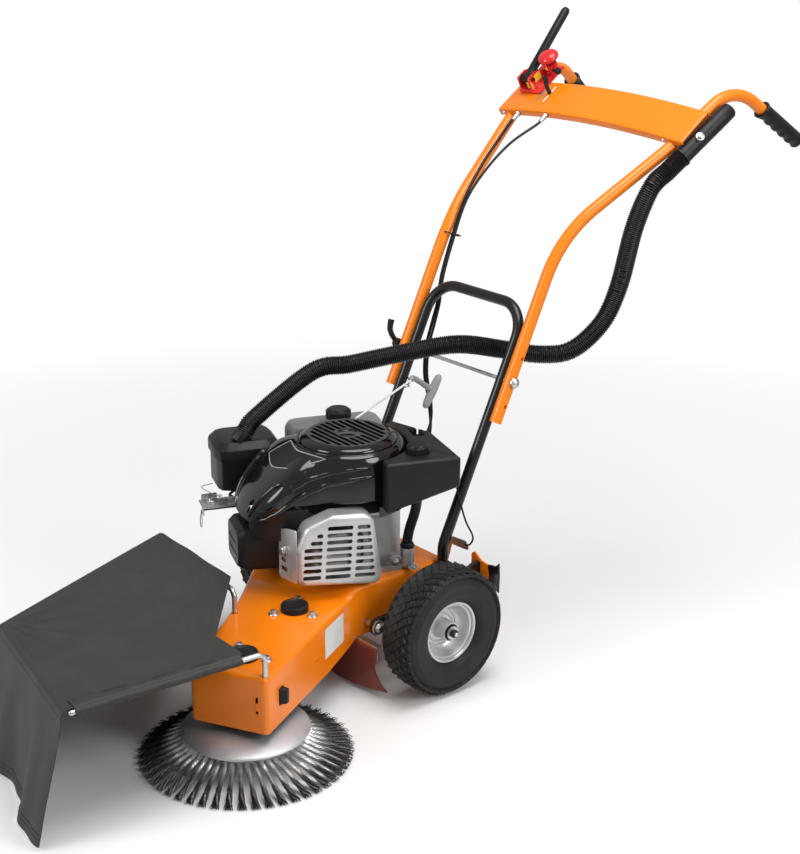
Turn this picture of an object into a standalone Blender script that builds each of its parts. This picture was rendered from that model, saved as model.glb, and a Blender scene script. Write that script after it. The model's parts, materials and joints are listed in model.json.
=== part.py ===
"""Weed brush machine: an engine on an orange deck drives a cup brush of twisted wire.

Metres, +Z up. The machine runs towards -Y, the operator walks behind it at +Y.
"""
import math

import bmesh
import bpy
from mathutils import Matrix, Vector

# Clearances and sheet thicknesses
FIT = 0.0003
RUNNING_FIT = 0.0008
SHEET = 0.0025

# Wheels
TYRE_R = 0.130
TYRE_WIDTH = 0.085
WHEEL_X = 0.235
RIM_R = 0.0625
RIM_WIDTH = 0.056
HUB_R = 0.019
AXLE_R = 0.010

# Brush
BRUSH_X = 0.190
BRUSH_Y = -0.440
BRUSH_R = 0.199
DISH_R = 0.118
DISH_EDGE_Z = 0.056
DISH_TOP_Z = 0.082
KNOTS = 50
WIRES_IN_KNOT = 5

ARM_PIVOT_Y = -0.100
ARM_PIVOT_Z = 0.134
PIVOT_R = 0.006

# Deck
ARM_YAW = math.atan2(0.454, 0.891)
ARM_HALF = 0.077
ARM_FRONT = 0.061
DECK_TOP_Z = 0.195
DECK_BOTTOM_Z = 0.085
PLATFORM_Z = 0.212
PLATFORM_HALF = 0.1235
PLATFORM_REAR_Y = 0.105
PLATFORM_BOTTOM_Z = 0.112
STEP_BOTTOM_Z = 0.107
CAP_2_BACK = 0.210
CAP_R = 0.0265
CAP_HEIGHT = 0.013

# Legs and hoop
LEG_R = 0.011
LEG_X = PLATFORM_HALF + FIT + LEG_R
LEG_FOOT_Z = 0.125
LEG_Y = 0.089
LEG_BEND_Z = 0.246
HOOP_Y = 0.305
HOOP_Z = 0.700
HOOP_BEND_R = 0.065

# Handle
HANDLE_R = 0.0125
HANDLE_X = LEG_X + LEG_R + 2 * FIT + HANDLE_R
CLAMP_Y = LEG_Y + 0.69676 * (HOOP_Y - LEG_Y)
CLAMP_Z = LEG_BEND_Z + 0.70154 * (HOOP_Z - LEG_BEND_Z)
CLAMP_R = 0.004
HANDLE_END = 0.086
CONSOLE_HALF = 0.262

# Engine
ENGINE_X = 0.004
ENGINE_Y = -0.048
ENGINE_YAW = -0.396


def clear_scene():
    for old in list(bpy.data.objects):
        bpy.data.objects.remove(old, do_unlink=True)


clear_scene()
PARTS = bpy.data.collections.new("Weed_brush_machine")
CUTTERS = bpy.data.collections.new("Cutters")
for group in (PARTS, CUTTERS):
    bpy.context.scene.collection.children.link(group)


def material(name, colour, roughness, metallic=0.0):
    made = bpy.data.materials.new(name)
    made.use_nodes = True
    shader = made.node_tree.nodes["Principled BSDF"]
    shader.inputs["Base Color"].default_value = (*colour, 1.0)
    shader.inputs["Roughness"].default_value = roughness
    shader.inputs["Metallic"].default_value = metallic
    made.diffuse_color = (*colour, 1.0)
    return made


ORANGE = ((0.83, 0.20, 0.015), 0.35)
GLOSS_BLACK = ((0.012, 0.012, 0.013), 0.12)
SATIN_BLACK = ((0.016, 0.016, 0.017), 0.42)
RUBBER = ((0.020, 0.019, 0.018), 0.75)
FLAP_RED = ((0.14, 0.028, 0.020), 0.6)
ZINC = ((0.62, 0.62, 0.60), 0.32, 0.9)
ALUMINIUM = ((0.55, 0.55, 0.54), 0.45, 0.9)
SILVER_PAINT = ((0.62, 0.62, 0.62), 0.38, 0.5)
STEEL = ((0.35, 0.34, 0.33), 0.35, 1.0)
FABRIC = ((0.055, 0.050, 0.046), 0.85)
RED_PLASTIC = ((0.62, 0.02, 0.02), 0.35)
GREY_PLASTIC = ((0.24, 0.25, 0.25), 0.5)
ROPE_WHITE = ((0.72, 0.72, 0.68), 0.8)


def empty(name, place, parent=None, turn=(0.0, 0.0, 0.0)):
    made = bpy.data.objects.new(name, None)
    PARTS.objects.link(made)
    made.location = place
    made.rotation_euler = turn
    made.parent = parent
    return made


def keep(made, name, look, parent, place=(0, 0, 0), turn=(0, 0, 0)):
    """Names a piece, gives it its finish and hangs it on its parent."""
    made.name = name
    made.data.name = name
    made.data.materials.clear()
    made.data.materials.append(material(name, *look))
    made.parent = parent
    made.location = place
    made.rotation_euler = turn
    PARTS.objects.link(made)
    if made.type == "MESH":
        made.data.shade_smooth()
        made.data.set_sharp_from_angle(angle=math.radians(32))
    return made


def tool(made, parent=None, place=(0, 0, 0), turn=(0, 0, 0)):
    """A cutter, or a form that is joined to another piece."""
    made.parent = parent
    made.location = place
    made.rotation_euler = turn
    made.hide_render = True
    made.display_type = "WIRE"
    CUTTERS.objects.link(made)
    return made


def join_mode(piece, other, operation):
    step = piece.modifiers.new(operation.title(), "BOOLEAN")
    step.operation = operation
    step.solver = "EXACT"
    step.object = other
    return step


def cut(piece, *others):
    for other in others:
        join_mode(piece, other, "DIFFERENCE")


def fuse(piece, *others):
    for other in others:
        join_mode(piece, other, "UNION")


def bevel(piece, width, segments=2, angle=35):
    step = piece.modifiers.new("Bevel", "BEVEL")
    step.width = width
    step.segments = segments
    step.limit_method = "ANGLE"
    step.angle_limit = math.radians(angle)
    step.use_clamp_overlap = True
    return step


def from_bmesh(bm):
    mesh = bpy.data.meshes.new("mesh")
    bmesh.ops.recalc_face_normals(bm, faces=bm.faces)
    bm.to_mesh(mesh)
    bm.free()
    return bpy.data.objects.new("piece", mesh)


def add_box(bm, low, high):
    size = [b - a for a, b in zip(low, high)]
    middle = [(a + b) / 2 for a, b in zip(low, high)]
    place = Matrix.Translation(middle) @ Matrix.Diagonal((*size, 1.0))
    return bmesh.ops.create_cube(bm, size=1.0, matrix=place)["verts"]


def box(low, high):
    bm = bmesh.new()
    add_box(bm, low, high)
    return from_bmesh(bm)


AXIS_TURN = {
    "X": Matrix.Rotation(math.pi / 2, 4, "Y"),
    "Y": Matrix.Rotation(-math.pi / 2, 4, "X"),
    "Z": Matrix.Identity(4),
}


def add_cylinder(bm, start, length, radius, axis="Z", sides=20):
    """A cylinder from start along +axis."""
    turn = AXIS_TURN[axis]
    place = Matrix.Translation(start) @ turn @ Matrix.Translation((0, 0, length / 2))
    bmesh.ops.create_cone(
        bm,
        cap_ends=True,
        segments=sides,
        radius1=radius,
        radius2=radius,
        depth=length,
        matrix=place,
    )


def cylinder(start, length, radius, axis="Z", sides=20):
    bm = bmesh.new()
    add_cylinder(bm, start, length, radius, axis, sides)
    return from_bmesh(bm)


def area(ring):
    """The signed area of a flat outline, positive where it runs anticlockwise."""
    return sum(a[0] * b[1] - b[0] * a[1] for a, b in zip(ring, [*ring[1:], ring[0]])) / 2


def turned(profile, steps=32, closed=False):
    """Revolves (radius, height) points about Z, their outer side running down."""
    if area(profile) > 0:
        profile = list(reversed(profile))
    bm = bmesh.new()
    ring = [bm.verts.new((radius, 0.0, height)) for radius, height in profile]
    for first, second in zip(ring, ring[1:]):
        bm.edges.new((first, second))
    if closed:
        bm.edges.new((ring[-1], ring[0]))
    mesh = bpy.data.meshes.new("profile")
    bm.to_mesh(mesh)
    bm.free()
    made = bpy.data.objects.new("turned", mesh)
    screw = made.modifiers.new("Screw", "SCREW")
    screw.angle = math.tau
    screw.steps = steps
    screw.render_steps = steps
    screw.use_merge_vertices = True
    screw.merge_threshold = 0.0001
    return made


def applied(made):
    """The same piece as a plain mesh with its modifiers and curve settings worked in."""
    linked = made.users_collection
    if not linked:
        bpy.context.scene.collection.objects.link(made)
    bpy.context.view_layer.update()
    graph = bpy.context.evaluated_depsgraph_get()
    mesh = bpy.data.meshes.new_from_object(made.evaluated_get(graph))
    bm = bmesh.new()
    bm.from_mesh(mesh)
    bmesh.ops.remove_doubles(bm, verts=bm.verts, dist=0.00001)
    bmesh.ops.recalc_face_normals(bm, faces=bm.faces)
    bm.to_mesh(mesh)
    bm.free()
    plain = bpy.data.objects.new("piece", mesh)
    plain.matrix_world = made.matrix_world
    bpy.data.objects.remove(made, do_unlink=True)
    return plain


def tube(points, radius, roundness=3, radii=None):
    curve = bpy.data.curves.new("route", "CURVE")
    curve.dimensions = "3D"
    curve.bevel_depth = radius
    curve.bevel_resolution = roundness
    curve.use_fill_caps = True
    spline = curve.splines.new("POLY")
    spline.points.add(len(points) - 1)
    for index, point in enumerate(points):
        spline.points[index].co = (*point, 1.0)
        if radii:
            spline.points[index].radius = radii[index]
    return bpy.data.objects.new("tube", curve)


def rounded(points, radius, steps=6, closed=False):
    """Replaces each corner of a route with an arc."""
    points = [Vector(p) for p in points]
    count = len(points)
    radii = radius if isinstance(radius, (list, tuple)) else [radius] * count
    route = []
    for index, corner in enumerate(points):
        if not closed and index in (0, count - 1):
            route.append(corner)
            continue
        before = (points[index - 1] - corner).normalized()
        after = (points[(index + 1) % count] - corner).normalized()
        half = before.angle(after) / 2
        reach = radii[index] / math.tan(half)
        middle = corner + (before + after).normalized() * (radii[index] / math.sin(half))
        start = corner + before * reach - middle
        end = corner + after * reach - middle
        sweep = start.angle(end)
        for step in range(steps + 1):
            share = step / steps
            part = (start * math.sin((1 - share) * sweep) + end * math.sin(share * sweep)) / math.sin(sweep)
            route.append(middle + part)
    return route


def flat(outline, thickness, holes=()):
    """A flat plate from a closed outline, its middle plane at z = 0."""
    curve = bpy.data.curves.new("outline", "CURVE")
    curve.dimensions = "2D"
    curve.fill_mode = "BOTH"
    curve.extrude = thickness / 2
    for ring in (outline, *holes):
        spline = curve.splines.new("POLY")
        spline.points.add(len(ring) - 1)
        for index, point in enumerate(ring):
            spline.points[index].co = (point[0], point[1], 0.0, 1.0)
        spline.use_cyclic_u = True
    return bpy.data.objects.new("plate", curve)


def circle(radius, count=24, centre=(0.0, 0.0)):
    angles = [math.tau * k / count for k in range(count)]
    return [(centre[0] + radius * math.cos(a), centre[1] + radius * math.sin(a)) for a in angles]


def smooth_route(points, steps, before=None, after=None):
    """A Catmull-Rom curve through the points."""
    points = [Vector(p) for p in points]
    before = before or 2 * points[0] - points[1]
    after = after or 2 * points[-1] - points[-2]
    padded = [before, *points, after]
    route = []
    for index in range(1, len(padded) - 2):
        a, b, c, d = padded[index - 1 : index + 3]
        for step in range(steps):
            t = step / steps
            square = (2 * a - 5 * b + 4 * c - d) * t**2
            cube = (3 * b - a - 3 * c + d) * t**3
            route.append(0.5 * (2 * b + (c - a) * t + square + cube))
    route.append(points[-1])
    return route


def held_route(points, steps=24):
    """A smooth curve whose first and last stretches are straight."""
    points = [Vector(p) for p in points]
    return [points[0], *smooth_route(points[1:-1], steps, points[0], points[-1]), points[-1]]


def spread(path, count):
    """That many points at even spacing along a fine path, its ends kept."""
    step = route_length(path) / (count - 1)
    route = [path[0]]
    walked = 0.0
    for a, b in zip(path, path[1:]):
        reach = (b - a).length
        while walked + reach >= step * len(route) and len(route) < count - 1:
            route.append(a.lerp(b, (step * len(route) - walked) / reach))
        walked += reach
    route.append(path[-1])
    return route


def route_length(path):
    return sum((b - a).length for a, b in zip(path, path[1:]))


# The middle of the whole machine's box, measured from the wheel axle's middle
MIDDLE_X = 0.0390
MIDDLE_Y = 0.0265
ROOT = empty("Machine", (-MIDDLE_X, -MIDDLE_Y, 0.0))
ARM = empty("Brush_axis", (BRUSH_X, BRUSH_Y, 0.0), ROOT, (0, 0, ARM_YAW))
ENGINE = empty("Crank_axis", (ENGINE_X, ENGINE_Y, 0.0), ROOT, (0, 0, ENGINE_YAW))
HANDLE = empty("Handle_axis", (0.0, CLAMP_Y, CLAMP_Z), ROOT)
FROM_HANDLE = (0.0, -CLAMP_Y, -CLAMP_Z)


def arm_point(across, back):
    """Machine x and y of a point given across and back along the brush arm."""
    return (
        BRUSH_X + across * math.cos(ARM_YAW) - back * math.sin(ARM_YAW),
        BRUSH_Y + across * math.sin(ARM_YAW) + back * math.cos(ARM_YAW),
    )


# Deck: pressed arm and engine platform in one open shell
FOLD_BACK = (BRUSH_X + ARM_HALF * math.cos(ARM_YAW) - PLATFORM_HALF) / math.sin(ARM_YAW)
FLARE_BACK = 0.19
FLARE_OUT = 0.040
FOLD_STEP = 0.0138
RAMP_BACK = 0.31
RAMP_OUT = 0.073
CAP_2 = arm_point(0.0, CAP_2_BACK)
ROD_HOLE_FRONT = arm_point(ARM_HALF - 0.009, -ARM_FRONT + 0.012)
ROD_HOLE_LEFT = arm_point(-ARM_HALF - 0.022, 0.155)
ROD_R = 0.005
CRANK_OPENING_R = 0.046


def deck_shell():
    front_left = arm_point(-ARM_HALF, -ARM_FRONT)
    front_right = arm_point(ARM_HALF, -ARM_FRONT)
    flare_left = arm_point(-ARM_HALF - FLARE_OUT, FLARE_BACK)
    flare_right = arm_point(ARM_HALF, FLARE_BACK)
    ramp_left = arm_point(-ARM_HALF - RAMP_OUT, RAMP_BACK)
    fold = arm_point(ARM_HALF, FOLD_BACK)
    rear = PLATFORM_REAR_Y
    stations = [
        (front_left, front_right, DECK_TOP_Z, DECK_BOTTOM_Z),
        (flare_left, flare_right, DECK_TOP_Z, DECK_BOTTOM_Z),
        (ramp_left, fold, DECK_TOP_Z, DECK_BOTTOM_Z + 0.008),
        ((-PLATFORM_HALF, -0.180), (PLATFORM_HALF, fold[1] + FOLD_STEP), PLATFORM_Z, STEP_BOTTOM_Z),
        ((-PLATFORM_HALF, rear), (PLATFORM_HALF, rear), PLATFORM_Z, PLATFORM_BOTTOM_Z),
    ]
    bm = bmesh.new()
    rows = []
    for left, right, top, bottom in stations:
        corners = ((*left, bottom), (*left, top), (*right, top), (*right, bottom))
        rows.append([bm.verts.new(corner) for corner in corners])
    for ahead, behind in zip(rows, rows[1:]):
        for k in range(3):
            bm.faces.new((ahead[k], ahead[k + 1], behind[k + 1], behind[k]))
    bm.faces.new(rows[0])
    bm.faces.new(list(reversed(rows[-1])))
    shell = from_bmesh(bm)
    bevel(shell, 0.009, 1, 9)
    wall = shell.modifiers.new("Wall", "SOLIDIFY")
    wall.thickness = SHEET
    wall.offset = -1.0
    wall.use_even_offset = True
    return shell


def deck():
    shell = keep(deck_shell(), "deck", ORANGE, ROOT)
    holes = bmesh.new()
    for place in ((BRUSH_X, BRUSH_Y), CAP_2):
        add_cylinder(holes, (*place, 0.18), 0.03, CAP_R - 0.0055, sides=14)
    for place in (ROD_HOLE_FRONT, ROD_HOLE_LEFT):
        add_cylinder(holes, (*place, 0.18), 0.03, ROD_R + RUNNING_FIT, sides=8)
    add_cylinder(holes, (ENGINE_X, ENGINE_Y, 0.20), 0.03, CRANK_OPENING_R, sides=14)
    add_cylinder(holes, (0.10, ARM_PIVOT_Y, ARM_PIVOT_Z), 0.04, PIVOT_R + RUNNING_FIT, "X", 10)
    cut(shell, tool(from_bmesh(holes), ROOT))


deck()


# Brush: dish, knots of twisted wire, spindle and driven pulley
SPINDLE_R = 0.0085
BELT_Z = 0.134
PULLEY_HEIGHT = 0.016
DRIVEN_R = 0.046
DRIVE_R = 0.034
BELT_WIDTH = 0.010
BELT_DEPTH = 0.008
HOUSING_R = 0.024
HOUSING_BOTTOM_Z = 0.150
FLANGE_R = 0.0495
FLANGE_THICK = 0.005


def spindle_housing():
    top = DECK_TOP_Z - SHEET - FIT
    profile = [
        (SPINDLE_R + FIT, top - 0.004),
        (SPINDLE_R + 0.004, top),
        (FLANGE_R, top),
        (FLANGE_R, top - FLANGE_THICK),
        (HOUSING_R + 0.006, top - FLANGE_THICK),
        (HOUSING_R, top - FLANGE_THICK - 0.008),
        (HOUSING_R, HOUSING_BOTTOM_Z),
        (SPINDLE_R + FIT, HOUSING_BOTTOM_Z),
    ]
    keep(turned(profile, 14, True), "spindle_housing", ZINC, ROOT, (BRUSH_X, BRUSH_Y, 0))


def spindle():
    top = DECK_TOP_Z - 0.004
    profile = [
        (0.0, top),
        (SPINDLE_R - 0.002, top),
        (SPINDLE_R, top - 0.004),
        (SPINDLE_R, DISH_TOP_Z - 0.012),
        (0.0, DISH_TOP_Z - 0.012),
    ]
    keep(turned(profile, 12), "brush_spindle", STEEL, ARM)


def pulley(name, radius, bore, parent):
    """A V pulley whose groove leaves room for the belt."""
    half = PULLEY_HEIGHT / 2
    rim = radius + BELT_DEPTH * 0.4
    floor = radius - BELT_DEPTH * 0.6 - FIT * 2
    mouth = BELT_WIDTH / 2 + FIT * 2
    profile = [
        (bore, BELT_Z + half),
        (rim, BELT_Z + half),
        (rim, BELT_Z + mouth + 0.0002),
        (floor, BELT_Z + mouth * 0.62),
        (floor, BELT_Z - mouth * 0.62),
        (rim, BELT_Z - mouth - 0.0002),
        (rim, BELT_Z - half),
        (bore, BELT_Z - half),
    ]
    keep(turned(profile, 14, True), name, ALUMINIUM, parent)


def brush_dish():
    wall = 0.003
    hub_r = 0.022
    profile = [
        (SPINDLE_R + FIT, DISH_TOP_Z),
        (hub_r, DISH_TOP_Z),
        (hub_r + 0.004, DISH_TOP_Z - 0.009),
        (0.056, DISH_TOP_Z - 0.011),
        (0.100, DISH_EDGE_Z + 0.006),
        (DISH_R, DISH_EDGE_Z),
        (DISH_R, DISH_EDGE_Z - 0.004),
        (0.099, DISH_EDGE_Z + 0.006 - wall),
        (0.054, DISH_TOP_Z - 0.011 - wall),
        (hub_r, DISH_TOP_Z - 0.020),
        (SPINDLE_R + FIT, DISH_TOP_Z - 0.020),
    ]
    keep(turned(profile, 20, True), "brush_dish", ZINC, ARM)


KNOT_START_R = 0.098
KNOT_START_Z = 0.040
KNOT_TURN_R = 0.0034
STRAND_R = 0.0014
KNOT_LEAN = math.radians(9)
WORN_Z = 0.0005


def strand(bm, points, radius):
    """A three-sided wire along the points, its tip worn flat where it would pass the ground."""
    rings = []
    for index, point in enumerate(points):
        ahead = (points[min(index + 1, len(points) - 1)] - points[max(index - 1, 0)]).normalized()
        side = ahead.cross(Vector((0, 0, 1))).normalized()
        up = side.cross(ahead)
        rings.append(
            [
                bm.verts.new(point + (side * math.cos(a) + up * math.sin(a)) * radius)
                for a in (math.pi / 2, math.pi / 2 + math.tau / 3, math.pi / 2 - math.tau / 3)
            ]
        )
    for corner in rings[-1]:
        if corner.co.z < WORN_Z:
            corner.co += ahead * (WORN_Z - corner.co.z) / ahead.z
    for first, second in zip(rings, rings[1:]):
        for k in range(3):
            bm.faces.new((first[k], first[(k + 1) % 3], second[(k + 1) % 3], second[k]))
    bm.faces.new(list(reversed(rings[0])))
    bm.faces.new(rings[-1])


def knot_points(turn, number):
    """The middle line of one wire: the last is the core, the others wind round it and fray at the tip."""
    stages = ((0.0, 0.0, 1.0), (1.0, math.radians(60), 1.5))
    start = Vector((KNOT_START_R, 0.0, KNOT_START_Z))
    end = Vector((BRUSH_R - 0.003, 0.0, 0.001))
    ahead = (end - start).normalized()
    side = Vector((0.0, 1.0, 0.0))
    up = side.cross(ahead) * -1
    points = []
    for share, wind, spread in stages:
        middle = start.lerp(end, share)
        middle.y += math.tan(KNOT_LEAN) * (middle.x - start.x)
        reach = 0.0 if number == WIRES_IN_KNOT else KNOT_TURN_R * spread
        angle = wind + math.tau * number / WIRES_IN_KNOT
        point = middle + (side * math.cos(angle) + up * math.sin(angle)) * reach
        points.append(Matrix.Rotation(turn, 3, "Z") @ point)
    return points


def brush_wire():
    bm = bmesh.new()
    for knot in range(KNOTS):
        turn = math.tau * (knot + 0.35) / KNOTS
        for number in range(WIRES_IN_KNOT + 1):
            strand(bm, knot_points(turn, number), STRAND_R)
    wires = from_bmesh(bm)
    ring = turned(
        [
            (0.0880, 0.0605),
            (0.0990, 0.0583),
            (0.1135, 0.0528),
            (0.1155, 0.0455),
            (0.1090, 0.0300),
            (0.0900, 0.0300),
        ],
        KNOTS // 2,
        True,
    )
    backed = keep(ring, "brush_wire", STEEL, ARM)
    fuse(backed, tool(wires, ARM))


spindle_housing()
spindle()
pulley("driven_pulley", DRIVEN_R, SPINDLE_R + FIT, ARM)
brush_dish()
brush_wire()


# Black caps on the deck
def deck_cap(name, place, plug_depth):
    top = DECK_TOP_Z + FIT
    profile = [
        (0.0, top + CAP_HEIGHT),
        (CAP_R - 0.003, top + CAP_HEIGHT),
        (CAP_R, top + CAP_HEIGHT - 0.003),
        (CAP_R, top),
        (CAP_R - 0.0065, top),
        (CAP_R - 0.0065, top - plug_depth),
        (0.0, top - plug_depth),
    ]
    keep(turned(profile, 14), name, SATIN_BLACK, ROOT, (*place, 0))


deck_cap("spindle_cap", (BRUSH_X, BRUSH_Y), 0.002)
deck_cap("tensioner_cap", CAP_2, 0.002)


# Wheels: dished rims and block-tread tyres
TREAD_BLOCKS = 18
TREAD_DEPTH = 0.0025
BEAD_FIT = 0.0008
HUB_FACE = 0.0252


def tyre():
    half = TYRE_WIDTH / 2
    profile = [
        (RIM_R + BEAD_FIT, half - 0.015),
        (0.080, half - 0.002),
        (0.108, half - 0.002),
        (TYRE_R - TREAD_DEPTH - 0.003, 0.028),
        (TYRE_R - TREAD_DEPTH, 0.0),
    ]
    outer = profile + [(radius, -across) for radius, across in reversed(profile[:-1])]
    inner = [(RIM_R + BEAD_FIT, -0.018), (0.112, 0.0), (RIM_R + BEAD_FIT, 0.018)]
    plain = applied(turned(outer + inner, TREAD_BLOCKS, True))
    bm = bmesh.new()
    bm.from_mesh(plain.data)
    bm.faces.ensure_lookup_table()
    tread = []
    for face in bm.faces:
        middle = face.calc_center_median()
        radius = math.hypot(middle.x, middle.y)
        if radius > TYRE_R - TREAD_DEPTH - 0.004:
            tread.append(face)
    bmesh.ops.inset_individual(bm, faces=tread, thickness=0.0015, depth=TREAD_DEPTH, use_even_offset=True)
    bm.to_mesh(plain.data)
    bm.free()
    return plain


def rim():
    profile = [
        (RIM_R, RIM_WIDTH / 2),
        (RIM_R, -RIM_WIDTH / 2),
        (RIM_R - 0.006, -RIM_WIDTH / 2),
        (RIM_R - 0.010, -0.014),
        (HUB_R + 0.002, -0.010),
        (HUB_R, -RIM_WIDTH / 2),
        (AXLE_R + RUNNING_FIT, -RIM_WIDTH / 2),
        (AXLE_R + RUNNING_FIT, HUB_FACE),
        (HUB_R, HUB_FACE),
        (HUB_R + 0.001, -0.004),
        (0.037, -0.006),
        (0.047, 0.006),
        (RIM_R - 0.010, 0.020),
        (RIM_R - 0.006, RIM_WIDTH / 2),
    ]
    return turned(profile, TREAD_BLOCKS, True)


def wheel(name, side):
    quarter = (0.0, side * math.pi / 2, 0.0)
    centre = empty(name + "_axis", (side * WHEEL_X, 0.0, TYRE_R), ROOT)
    keep(rim(), name + "_rim", SILVER_PAINT, centre, (0, 0, 0), quarter)
    keep(tyre(), name + "_tyre", RUBBER, centre, (0, 0, 0), quarter)


wheel("left_wheel", 1)
wheel("right_wheel", -1)


# Belt drive inside the deck
PLATE_Z = 0.0895
PLATE_THICK = 0.002
IDLER_R = 0.017
IDLER_HEIGHT = 0.014
TENSIONER_REACH = 0.056
TENSIONER_OUT = 0.016
TENSIONER_PIN_R = 0.0055
BELT_SPAN = math.hypot(ENGINE_X - BRUSH_X, ENGINE_Y - BRUSH_Y)


def belt_route(radius_from, radius_to, count=10):
    """The open belt line round both pulleys, in arm coordinates turned to the crank."""
    lean = math.asin((radius_from - radius_to) / BELT_SPAN)
    ring = []
    for k in range(count + 1):
        angle = math.pi + lean + (math.pi - 2 * lean) * k / count
        ring.append((radius_from * math.cos(angle), radius_from * math.sin(angle)))
    for k in range(count + 1):
        angle = -lean + (math.pi + 2 * lean) * k / count
        ring.append((radius_to * math.cos(angle), BELT_SPAN + radius_to * math.sin(angle)))
    return ring


def belt():
    outside = belt_route(DRIVEN_R + BELT_DEPTH * 0.4, DRIVE_R + BELT_DEPTH * 0.4)
    inside = belt_route(DRIVEN_R - BELT_DEPTH * 0.6, DRIVE_R - BELT_DEPTH * 0.6)
    bm = bmesh.new()
    rings = []
    for ring, half in ((outside, BELT_WIDTH / 2), (inside, BELT_WIDTH * 0.3)):
        for height in (half, -half):
            rings.append([bm.verts.new((x, y, BELT_Z + height)) for x, y in ring])
    outer_top, outer_low, inner_top, inner_low = rings
    count = len(outer_top)
    for first, second in (
        (outer_top, outer_low),
        (outer_low, inner_low),
        (inner_low, inner_top),
        (inner_top, outer_top),
    ):
        for k in range(count):
            after = (k + 1) % count
            bm.faces.new((first[k], first[after], second[after], second[k]))
    turn = math.atan2(ENGINE_Y - BRUSH_Y, ENGINE_X - BRUSH_X) - math.pi / 2
    keep(from_bmesh(bm), "drive_belt", RUBBER, ROOT, (BRUSH_X, BRUSH_Y, 0), (0, 0, turn))


def cover_plate():
    """The plate under the belt: its edge follows the deck's inside."""
    inset = SHEET + 0.004
    outline = [
        arm_point(-ARM_HALF + inset, -ARM_FRONT + inset),
        arm_point(ARM_HALF - inset, -ARM_FRONT + inset),
        arm_point(ARM_HALF - inset, FOLD_BACK - 0.03),
        arm_point(-ARM_HALF - FLARE_OUT + inset + 0.006, FLARE_BACK + 0.02),
    ]
    hole = circle(SPINDLE_R + 0.006, 16, (BRUSH_X, BRUSH_Y))
    plate = flat(outline, PLATE_THICK, (hole,))
    keep(plate, "belt_cover_plate", SATIN_BLACK, ROOT, (0, 0, PLATE_Z + PLATE_THICK / 2))


def tensioner():
    """A swinging arm on a pin below the second cap; its roller presses the belt from inside."""
    pin_top = DECK_TOP_Z - SHEET - FIT
    low = BELT_Z - IDLER_HEIGHT / 2 - 0.003
    profile = [
        (0.0, pin_top),
        (FLANGE_R, pin_top),
        (FLANGE_R, pin_top - FLANGE_THICK),
        (0.010, pin_top - FLANGE_THICK),
        (TENSIONER_PIN_R, pin_top - 0.014),
        (TENSIONER_PIN_R, low - 0.006),
        (0.0, low - 0.006),
    ]
    keep(turned(profile, 12), "tensioner_pin", ZINC, ROOT, (*CAP_2, 0))
    centre = empty("Tensioner_axis", (*CAP_2, 0), ROOT, (0, 0, ARM_YAW))
    height = BELT_Z + IDLER_HEIGHT / 2 + 0.002
    bm = bmesh.new()
    add_cylinder(bm, (0, 0, height), 0.012, 0.011, sides=16)
    lever = from_bmesh(bm)
    hub_round = circle(0.009, 8)[4:]
    outline = [
        *hub_round,
        (0.009, 0.0),
        (TENSIONER_OUT + 0.008, TENSIONER_REACH),
        (TENSIONER_OUT + 0.004, TENSIONER_REACH + 0.008),
        (TENSIONER_OUT - 0.006, TENSIONER_REACH + 0.007),
        (TENSIONER_OUT - 0.009, TENSIONER_REACH - 0.004),
    ]
    arm = keep(lever, "tensioner_arm", ZINC, centre)
    blade = applied(flat(outline, 0.004))
    fuse(arm, tool(blade, centre, (0, 0, height + 0.003)))
    stud_low = low - 0.001
    stud = cylinder((TENSIONER_OUT, TENSIONER_REACH, stud_low), height + 0.003 - stud_low, 0.004, sides=12)
    fuse(arm, tool(stud, centre))
    bore = cylinder((0, 0, height - 0.01), 0.04, TENSIONER_PIN_R + FIT, sides=12)
    cut(arm, tool(bore, centre))
    roller = [
        (0.004 + FIT, BELT_Z + IDLER_HEIGHT / 2),
        (IDLER_R, BELT_Z + IDLER_HEIGHT / 2),
        (IDLER_R, BELT_Z - IDLER_HEIGHT / 2),
        (0.004 + FIT, BELT_Z - IDLER_HEIGHT / 2),
    ]
    keep(turned(roller, 14, True), "idler_pulley", STEEL, centre, (TENSIONER_OUT, TENSIONER_REACH, 0))


CRANK_R = 0.0125
CRANK_LOW_Z = 0.118
FLYWHEEL_Z = 0.398
FAN_BLADES = 7


def crank_drive():
    profile = [
        (0.0, FLYWHEEL_Z + 0.024),
        (0.008, FLYWHEEL_Z + 0.024),
        (0.010, FLYWHEEL_Z - 0.012),
        (CRANK_R, FLYWHEEL_Z - 0.020),
        (CRANK_R, CRANK_LOW_Z),
        (0.0, CRANK_LOW_Z),
    ]
    keep(turned(profile, 14), "crankshaft", STEEL, ENGINE)
    pulley("drive_pulley", DRIVE_R, CRANK_R + FIT, ENGINE)


belt()
cover_plate()
tensioner()
crank_drive()


# Legs and hoop: one bent tube, bolted to the platform's sides
def leg_hoop():
    half = [
        (LEG_X, LEG_Y, LEG_FOOT_Z),
        (LEG_X, LEG_Y, LEG_BEND_Z),
        (LEG_X, HOOP_Y, HOOP_Z),
    ]
    route = half + [(-x, y, z) for x, y, z in reversed(half)]
    radii = [0, 0.06, HOOP_BEND_R, HOOP_BEND_R, 0.06, 0]
    hoop = applied(tube(rounded(route, radii, 3), LEG_R, 2))
    hoop = keep(hoop, "leg_hoop", SATIN_BLACK, ROOT)
    rod_hole = cylinder((-0.2, CLAMP_Y, CLAMP_Z), 0.4, CLAMP_R + RUNNING_FIT, "X", 8)
    cut(hoop, tool(rod_hole, ROOT))


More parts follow.
